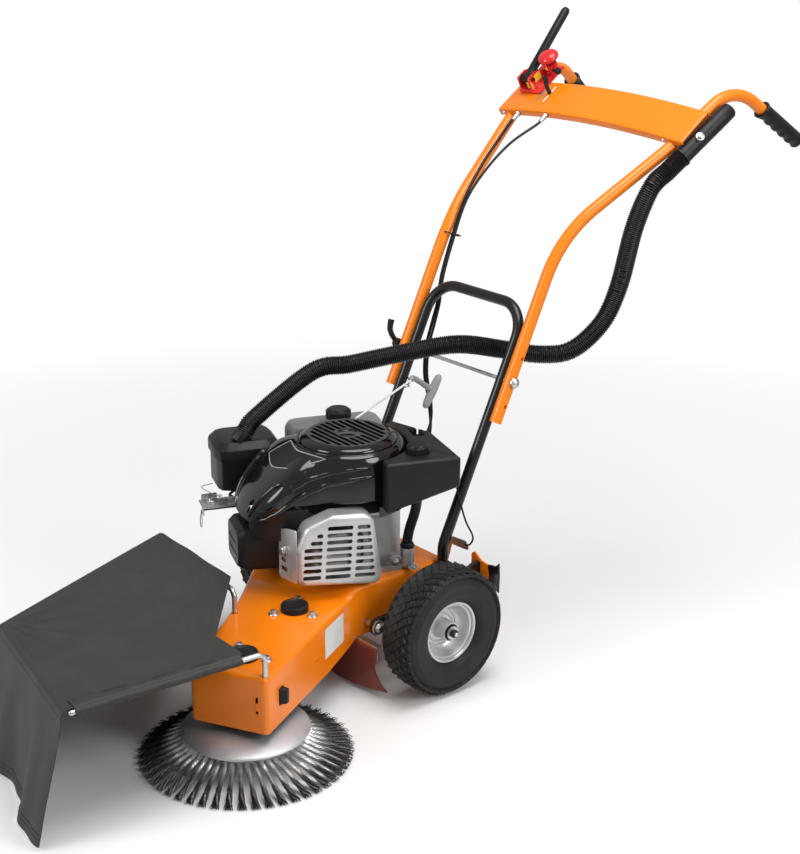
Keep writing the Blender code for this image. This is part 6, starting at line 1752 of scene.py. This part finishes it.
# %% Rear flap
FLAP_HALF = 0.186
FLAP_TOP = 0.1
FLAP_DROP = 0.094
flap_rows = []
for row in range(19):
    low = row / 18
    line = []
    for k in range(49):
        column = 8 * k / 48
        across = FLAP_HALF * (column / 4 - 1)
        corner = max(0.0, (column - 6) / 2)
        curl = corner * max(0.0, (low - 0.4) / 0.6)
        x = across - 0.012 * corner * low + 0.026 * curl
        y = -0.126 - 0.004 * low - 0.002 * low * math.sin(column * 1.3) + 0.018 * curl**2
        wear = max(0.0, 0.0012 * math.sin(column * 5.1) * math.sin(column * 1.7) * low**8)
        line.append(machine(x, y, FLAP_TOP - FLAP_DROP * low + 0.006 * curl + wear))
    flap_rows.append(line)
flap = wrapped(flap_rows)
walled(flap, 0.003)
bevelled(flap, 0.0006, 2, 60)
flap = done(smooth(flap, 45), "rubber_rear_flap", FLAP_RUBBER, "chassis", "rear_flap")

# %% [markdown]
# The console is one pressed sheet, arched across and folded down in front and behind. It is a grid
# of rows that follow its section, given a wall, and cut for the handle tubes, duct and lever.

# %% Console
CONSOLE_HALF = 0.262
SECTION = (
    (0.0, 0.016), (0.0, 0.006), (0.0002, 0.003), (0.001, 0.001), (0.0028, 0.0001), (0.012, 0.0),
    (0.0465, 0.0), (0.084, 0.0), (0.0905, 0.0001), (0.0922, 0.001), (0.0929, 0.0028), (0.093, 0.01),
)


def arch(x):
    """Height of the console's sheet at a distance from its middle."""
    return 0.0153 + 0.025 * (1 - (x / CONSOLE_HALF) ** 2) * math.cos(SLOPE)


columns = [CONSOLE_HALF * (k / 32 - 1) for k in range(65)]
console = wrapped([[Vector((x, y, arch(x) - drop)) for x in columns] for y, drop in SECTION])
if console.data.polygons[len(console.data.polygons) // 2].normal.z < 0:
    edit(console)
    bpy.ops.mesh.flip_normals()
    take(console)
walled(console, SHEET, -1.0, True)
carve(console, slab((-0.149, 0.03, 0.0), (-0.141, 0.084, 0.07), 0.0036, 4))
settle(console, CONSOLE)
for side in (1, -1):
    carve(console, tube(rounded(handle_corners(side), HANDLE_BENDS, 14), HANDLE_RADIUS + 0.0007, None, 6))
duct_span = [duct_start - duct_ahead * 0.02, duct_start + duct_ahead * 0.17]
carve(console, tube(duct_span, DUCT_RADIUS + 0.0008, None, 8))
cheek = settle(slab((-0.1398, 0.05, -0.022), (-0.137, 0.066, 0.0285), 0.0006), CONSOLE)
console = joined([bevelled(console, 0.0006, 2, 50), cheek])
done(smooth(console, 35), "arched_console", ORANGE, "handle", "console")
print("console faces:", len(console.data.polygons))

# %% [markdown]
# On the console lie a throttle scale that is left bare, two screws in its front lip and the bolt of
# the duct.

# %% Scale and screws of the console
scale_rows = []
for x in (-0.168, -0.165, -0.162):
    scale_rows.append([console_point(x, 0.034 + 0.046 * k / 8, arch(x) + FIT) for k in range(9)])
done(walled(wrapped(scale_rows), 0.0006), "bare_throttle_scale", GREY_PLASTIC, "handle")
forwards = CONSOLE.to_3x3() @ Vector((0, -1, 0))
lip_screws = [(console_point(x, -0.0002, arch(x) - 0.008), forwards) for x in (-0.246, 0.214)]
fastener(flange_bolt, "console_lip_screws", 0.006, lip_screws, "handle")
duct_top = (UP - duct_ahead * UP.dot(duct_ahead)).normalized()
duct_out = (duct_top * 0.8 + duct_side * 0.6).normalized()
duct_bolt = [(duct_start + duct_ahead * 0.052 + duct_out * (DUCT_RADIUS - 0.0002), duct_out)]
fastener(flange_bolt, "duct_bolt", 0.013, duct_bolt, "handle")
print("console fittings made")

# %% [markdown]
# The lock button is a red mushroom on a stem. Two yellow plates, left bare, sit on the bracket's
# cheek and front, and a small black clamping knob stands beside them. All are lathe pieces or
# bevelled plates.

# %% Lock button, plates and knob
BUTTON_BASE = 0.0277 + 0.027
BUTTON = (
    (0.0, 0.0275), (0.008, 0.027), (0.0152, 0.025), (0.02, 0.0218), (0.0228, 0.018), (0.0236, 0.0148),
    (0.0226, 0.012), (0.019, 0.0094), (0.015, 0.008), (0.006, 0.008), (0.005, 0.007), (0.005, -0.012),
    (0.0, -0.012),
)
KNOB = (
    (0.0, 0.0), (0.003, 0.0), (0.003, 0.01), (0.0058, 0.0112), (0.0072, 0.013), (0.0075, 0.0165),
    (0.0068, 0.0192), (0.0048, 0.0208), (0.0, 0.0213),
)
button = turned([(radius, BUTTON_BASE + height) for radius, height in BUTTON], 48)
settle(button, CONSOLE @ Matrix.Translation((-0.182, 0.122, 0)))
done(button, "mushroom_lock_button", RED_PLASTIC, "lock", "lock_button")
side_plate = slab((-0.0005, -0.0105, -0.0085), (0.0006, 0.0105, 0.0085), 0.0003)
settle(side_plate, CONSOLE @ Matrix.Translation((-0.1982, 0.086, 0.044)))
front_plate = slab((-0.009, -0.0006, -0.0075), (0.009, 0.0005, 0.0075), 0.0003)
settle(front_plate, CONSOLE @ at((-0.2, 0.06, 0.04), Matrix.Rotation(-0.12, 3, "X")))
done(joined([side_plate, front_plate]), "bare_yellow_plates", YELLOW_PLASTIC, "handle")
knob = settle(turned(KNOB, 32), CONSOLE @ at((-0.1682, 0.108, 0.047), SIDEWAYS))
done(knob, "black_clamping_knob", BLACK_PLASTIC, "handle")
print("console and its controls made")

# %% [markdown]
# The muffler guard is pressed from one sheet: a rounded six-sided face with a deep rim, three
# columns of slots with round ends and a slotted side. It is an extruded outline, opened behind,
# given a wall and cut by one joined set of slots. Two screws hold it to the muffler's bosses.

# %% Muffler guard
GUARD_BACK, GUARD_FACE = 0.096, 0.145
FACE_CORNERS = (
    (-0.14, 0.231), (0.03, 0.216), (0.009, 0.366), (-0.07, 0.37), (-0.124, 0.35), (-0.141, 0.305),
)
SLOT_ROWS = 8
ROW_RISE = 0.0143


def rounded_plate(corners, radii, steps, depth):
    """A plate from (x, y) corners, each rounded; its outline starts midway along the first side."""
    corners = [Vector((x, y, 0)) for x, y in corners]
    start = corners[0].lerp(corners[1], 0.5)
    rim = rounded([start, *corners[1:], corners[0], start], radii, steps)[:-1]
    return plate([(point.x, point.y) for point in rim], depth)


guard = rounded_plate(FACE_CORNERS, (0.018, 0.024, 0.03, 0.026, 0.03, 0.018), 6, GUARD_FACE - GUARD_BACK)
bevelled(guard, 0.0095, 5, 60)
edit(guard, lambda middle, normal: normal.z < -0.99)
bpy.ops.mesh.delete(type="FACE")
take(guard)
walled(guard, 0.002, -1.0, True)
slots = []
for row in range(SLOT_ROWS):
    low = 0.24 + ROW_RISE * row
    narrow = max(0, row - 4) * 0.012
    for left, right in ((-0.129 + narrow, -0.093), (-0.085, -0.034), (-0.026, 0.0155 - 0.0022 * row)):
        if right - left > 2 * SLOT_END:
            slots.append(slab((left, low, 0.02), (right, low + 0.0085, 0.07), SLOT_END, 4))
for low in (0.262, 0.284, 0.306):
    slots.append(slab((-0.16, low, 0.016), (-0.11, low + 0.01, 0.03), SLOT_END, 4))
middle = Matrix.Translation((-0.058, 0.298, 0))
carve(guard, settle(joined(slots), middle @ Matrix.Rotation(-0.06, 4, "Z") @ middle.inverted()))
settle(guard, ENGINE @ at((GUARD_BACK, 0, 0), Matrix(((0, 0, 1), (1, 0, 0), (0, 1, 0)))))
done(smooth(guard, 40), "slotted_muffler_guard", SILVER, "chassis", "muffler_guard")
front_way = ENGINE.to_3x3() @ Vector((0, -1, 0))
side_screws = [(engine_point(0.1195, -0.1402, z), front_way) for z in (0.248, 0.334)]
fastener(flange_bolt, "guard_side_screws", 0.01, side_screws, "chassis")
print("slots in the muffler guard:", len(slots))

# %% [markdown]
# A flat flank with a large bolt closes the gap between the guard and the cylinder. It stands
# obliquely, so its matrix is put together from its own three directions.

# %% Flank of the muffler guard
FLANK_CORNERS = ((0.0, 0.23), (0.057, 0.234), (0.057, 0.344), (0.028, 0.34), (0.0, 0.33))
FLANK_SHEET = 0.002
flank = rounded_plate(FLANK_CORNERS, (0.003, 0.003, 0.012, 0.008, 0.008), 5, FLANK_SHEET)
for left, right, low in ((0.007, 0.022, 0.266), (0.007, 0.028, 0.248)):
    carve(flank, slab((left, low, -0.01), (right, low + 0.01, 0.02), SLOT_END, 4))
bevelled(flank, 0.0005, 2, 50)
along, flank_way = Vector((0.928, 0.371, 0)).normalized(), Vector((0.371, -0.928, 0)).normalized()
flank_place = ENGINE @ at((0.08, -0.161, 0), Matrix((along, UP, flank_way)).transposed())
settle(flank, flank_place)
done(smooth(flank, 40), "guard_side_flank", SILVER, "chassis")
flank_bolt = [(flank_place @ Vector((0.0175, 0.292, FLANK_SHEET)), ENGINE.to_3x3() @ flank_way)]
fastener(flange_bolt, "guard_flank_bolt", 0.016, flank_bolt, "chassis")
base_nuts = [(engine_point(x, 0.105, 0.22), UP) for x in (0.098, -0.098)]
fastener(nut_on_stud, "engine_base_nuts", 0.013, base_nuts, "chassis")
print("flank and base nuts made")

# %% [markdown]
# The pedal behind the near wheel is a cut plate: orange where it meets the arm, and black where its outer corner
# turns up. The black part's points are moved along a curve.

# %% Pedal
PEDAL_Y = 0.1743
PEDAL_SHEET = 0.004
INNER = (
    (0.132, 0.15), (0.172, 0.1462), (0.186, 0.168), (0.18, 0.1953), (0.16, 0.198), (0.14, 0.211),
    (0.132, 0.205),
)
OUTER = (
    (0.1722, 0.1462), (0.222, 0.15), (0.2235, 0.19), (0.22, 0.214), (0.206, 0.201), (0.1802, 0.1953),
    (0.1862, 0.168),
)
PEDAL_BODY = BODY_OF["foot_pedal"]
stand = at(machine(0, PEDAL_Y, 0), UPRIGHT)
pedal = bevelled(plate(INNER, PEDAL_SHEET), 0.0007, 2, 40)
done(settle(smooth(pedal, 40), stand), "pedal_orange_plate", ORANGE, PEDAL_BODY, "foot_pedal")
upturned_corner_plate = plate(OUTER, PEDAL_SHEET)
modify(upturned_corner_plate, "SUBSURF", levels=2, render_levels=2, subdivision_type="SIMPLE")
for vertex in upturned_corner_plate.data.vertices:
    vertex.co.z += 0.01 * max(0.0, (vertex.co.x - 0.186) / 0.0375) ** 2
upturned_corner_plate = smooth(bevelled(upturned_corner_plate, 0.0005, 2, 60), 40)
done(settle(upturned_corner_plate, stand), "pedal_black_corner", BLACK_COAT, PEDAL_BODY)
print("pedal made")

# %% [markdown]
# The clamp rod and the pivot bolt are lathe pieces that lie across the machine, and each axle ends
# in a nut on its stud.

# %% Clamp rod, pivot bolt and axle nuts
reach, end = 0.1714, -0.1714 - 0.014
ROD = (
    (0.0, reach + 0.01), (0.0035, reach + 0.0096), (0.007, reach + 0.008), (0.0095, reach + 0.0055),
    (0.011, reach + 0.0026), (0.0115, reach + 0.0006), (0.004, reach + 0.0006), (0.004, end + 0.0008),
    (0.0034, end), (0.0, end),
)
outer, inner = 0.1598, 0.1207
PIVOT = (
    (0.0, outer + 0.012), (0.007, outer + 0.012), (0.0082, outer + 0.0112), (0.0095, outer + 0.0032),
    (0.014, outer + 0.003), (0.015, outer + 0.0024), (0.015, outer), (0.006, outer), (0.006, inner),
    (0.011, inner), (0.011, inner - 0.006), (0.0, inner - 0.006),
)
rod = settle(turned(ROD, 32), at(machine(0, *CLAMP), SIDEWAYS))
done(rod, "clamp_rod_turned", ZINC, "chassis", "clamp_rod")
pivot = settle(turned(PIVOT, 32), at(machine(0, *PIVOT_YZ), SIDEWAYS))
done(pivot, "pivot_bolt_turned", ZINC, "chassis", "arm_pivot_bolt")
for name, side, body in (("left", 1, "wheel_carrier"), ("right", -1, "chassis")):
    nut = [(machine(side * (WHEEL_X + 0.0287), 0, AXLE_HEIGHT), (side, 0, 0))]
    fastener(nut_on_stud, name + "_axle_nut", 0.0165, nut, body)
print("rod, bolt and nuts made")

# %% [markdown]
# Governor linkage: a zinc plate with a long slot and folded tabs on the carburettor side, with a
# cable clamp and a lever on it.

# %% Control plate
base = slab((-0.131, -0.274, 0.3203), (-0.079, -0.152, 0.3216), 0.0004)
carve(base, slab((-0.116, -0.228, 0.3), (-0.111, -0.19, 0.34), 0.0022, 4))
tab_high = slab((-0.132, -0.27, 0.3216), (-0.1304, -0.238, 0.333), 0.0005)
tab_low = slab((-0.1, -0.2756, 0.306), (-0.082, -0.2742, 0.3216), 0.0005)
clip = slab((-0.118, -0.262, 0.3216), (-0.101, -0.248, 0.327), 0.0012, 3)
lever_arm = plate([(-0.104, -0.226), (-0.09, -0.222), (-0.084, -0.172), (-0.094, -0.17)], 0.0012)
settle(bevelled(lever_arm, 0.0004), Matrix.Translation((0, 0, 0.3222)))
linkage = joined([base, tab_high, tab_low, clip, lever_arm])
done(settle(smooth(linkage, 35), ENGINE), "governor_plate", ZINC, "chassis")
print("control plate made")

# %% [markdown]
# Two wire links and a thin spring join the lever to the carburettor. The spring is a helix route
# that becomes a fine tube.

# %% Links, spring and screws
COILS = 11
COIL_STEPS = 10
COIL_RADIUS = 0.0026
LOW_LINK = (
    (-0.1, -0.276, 0.312), (-0.101, -0.279, 0.29), (-0.104, -0.277, 0.274), (-0.109, -0.274, 0.279),
    (-0.108, -0.274, 0.306),
)
HIGH_LINK = (
    (-0.094, -0.19, 0.324), (-0.1, -0.23, 0.332), (-0.15, -0.264, 0.339), (-0.16, -0.24, 0.342),
)
helix = []
for k in range(COILS * COIL_STEPS + 1):
    angle, share = math.tau * k / COIL_STEPS, k / (COILS * COIL_STEPS)
    x, z = -0.125 + COIL_RADIUS * math.cos(angle), 0.329 + COIL_RADIUS * math.sin(angle)
    helix.append(engine_point(x, -0.268 + 0.04 * share, z))
springs = [tube(helix, 0.0005, None, 1)]
springs += [tube([ENGINE @ p for p in flowing(link, 8)], 0.0008, None, 3) for link in (LOW_LINK, HIGH_LINK)]
done(joined(springs), "governor_links_and_spring", STEEL, "chassis")
screws = [(engine_point(*place), UP) for place in ((-0.1095, -0.255, 0.3268), (-0.09, -0.198, 0.3234))]
fastener(flange_bolt, "governor_screws", 0.008, screws, "chassis")
print("links and spring made")

# %% [markdown]
# Behind the engine a thin cable drops from the rear cover to a folded grey bracket on the platform,
# and a wire eye on the far leg holds the end of the starter rope.

# %% Rear cable, bracket and rope eye
REAR_CABLE = (
    (0.118, 0.118, 0.44), (0.1244, 0.12, 0.4052), (0.162, 0.12, 0.3098), (0.188, 0.12, 0.276),
    (0.182, 0.12, 0.256), (0.168, 0.12, 0.249),
)
BRACKET = (
    (0.1, 0.1965), (0.116, 0.1965), (0.128, 0.238), (0.174, 0.24), (0.178, 0.246), (0.17, 0.258),
    (0.13, 0.256), (0.1, 0.226),
)
EYE_RADIUS = 0.0085
rear_cable = tube(flowing([machine(*point) for point in REAR_CABLE], 8), 0.0019, None, 5)
done(rear_cable, "thin_rear_cable", BLACK_RUBBER, "chassis")
bracket = settle(bevelled(plate(BRACKET, 0.002), 0.0005), at(machine(0, 0.121, 0), UPRIGHT))
done(bracket, "rear_cable_bracket", GALVANISED, "chassis", slot="zinc")
eye_middle = machine(-LEG_X, 0.224, 0.496)
eye = []
for angle in (math.radians(-60 + 15 * k) for k in range(24)):
    eye.append(eye_middle + Vector((EYE_RADIUS * math.cos(angle), 0.0, EYE_RADIUS * math.sin(angle))))
stem = [eye[-1] + Vector((0.003, 0.004, -0.004)), machine(-LEG_X, 0.216, 0.482)]
done(tube([*eye, *stem], 0.0016, None, 4), "rope_guide_eye", STEEL, "chassis")
print("small fittings made")

# %% [markdown]
# The air intake is a moulded black duct under the console: a round body with a flat back, a collar
# for the hose and a slotted end. It is a swept tube flattened on one side by moving its points.

# %% Intake duct
FLAT_AT = 0.0125
DUCT_LENGTH = 0.15
DUCT_STATIONS = (
    (0.0, 1.0), (0.004, 1.0), (0.0045, 0.87), (0.03, 0.86), (0.075, 0.86), (0.12, 0.86), (0.1465, 0.84),
    (DUCT_LENGTH, 0.74),
)
duct_flat = (UP * -0.35 - duct_side).normalized()
duct_points = [duct_start + duct_ahead * reach for reach, _ in DUCT_STATIONS]
duct = tube(duct_points, DUCT_RADIUS, [size for _, size in DUCT_STATIONS], 9)
for vertex in duct.data.vertices:
    reach = (vertex.co - duct_start).dot(duct_flat)
    if reach > FLAT_AT:
        vertex.co -= duct_flat * (reach - FLAT_AT)
duct_end = duct_start + duct_ahead * DUCT_LENGTH
end_place = at(duct_end, Matrix((duct_flat.cross(duct_ahead), duct_flat, duct_ahead)).transposed())
for across in (-0.0055, 0.0055):
    low, high = (-0.009, across - 0.0018, -0.012), (0.009, across + 0.0018, 0.004)
    carve(duct, settle(block(low, high), end_place))
bevelled(duct, 0.0008, 2, 40)
done(smooth(duct, 40), "air_intake_duct", BLACK_PLASTIC, "handle", "intake_duct")
print("duct made")

# %% [markdown]
# A cast boss stands out of the engine's side under the housing, with a nut on its stud.

# %% Engine flange boss and bolt
boss = turned([(0.0, 0.0), (0.0125, 0.0), (0.012, 0.018), (0.0112, 0.019), (0.0, 0.019)], 32)
settle(boss, ENGINE @ at((0.085, 0.0667, 0.2425), SIDEWAYS))
done(boss, "engine_flange_boss", ALUMINIUM, "chassis")
flange_stud = [(engine_point(0.1041, 0.0667, 0.2425), ENGINE.to_3x3() @ Vector((1, 0, 0)))]
fastener(nut_on_stud, "engine_flange_bolt", 0.0125, flange_stud, "chassis")
print("engine flange made")

# %% Sizes
low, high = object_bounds()
sizes = {"cad": [list(CAD_BOX[0]), list(CAD_BOX[1])], "visual": [list(low), list(high)]}
print("visual box:", [round(b - a, 4) for a, b in zip(low, high)])
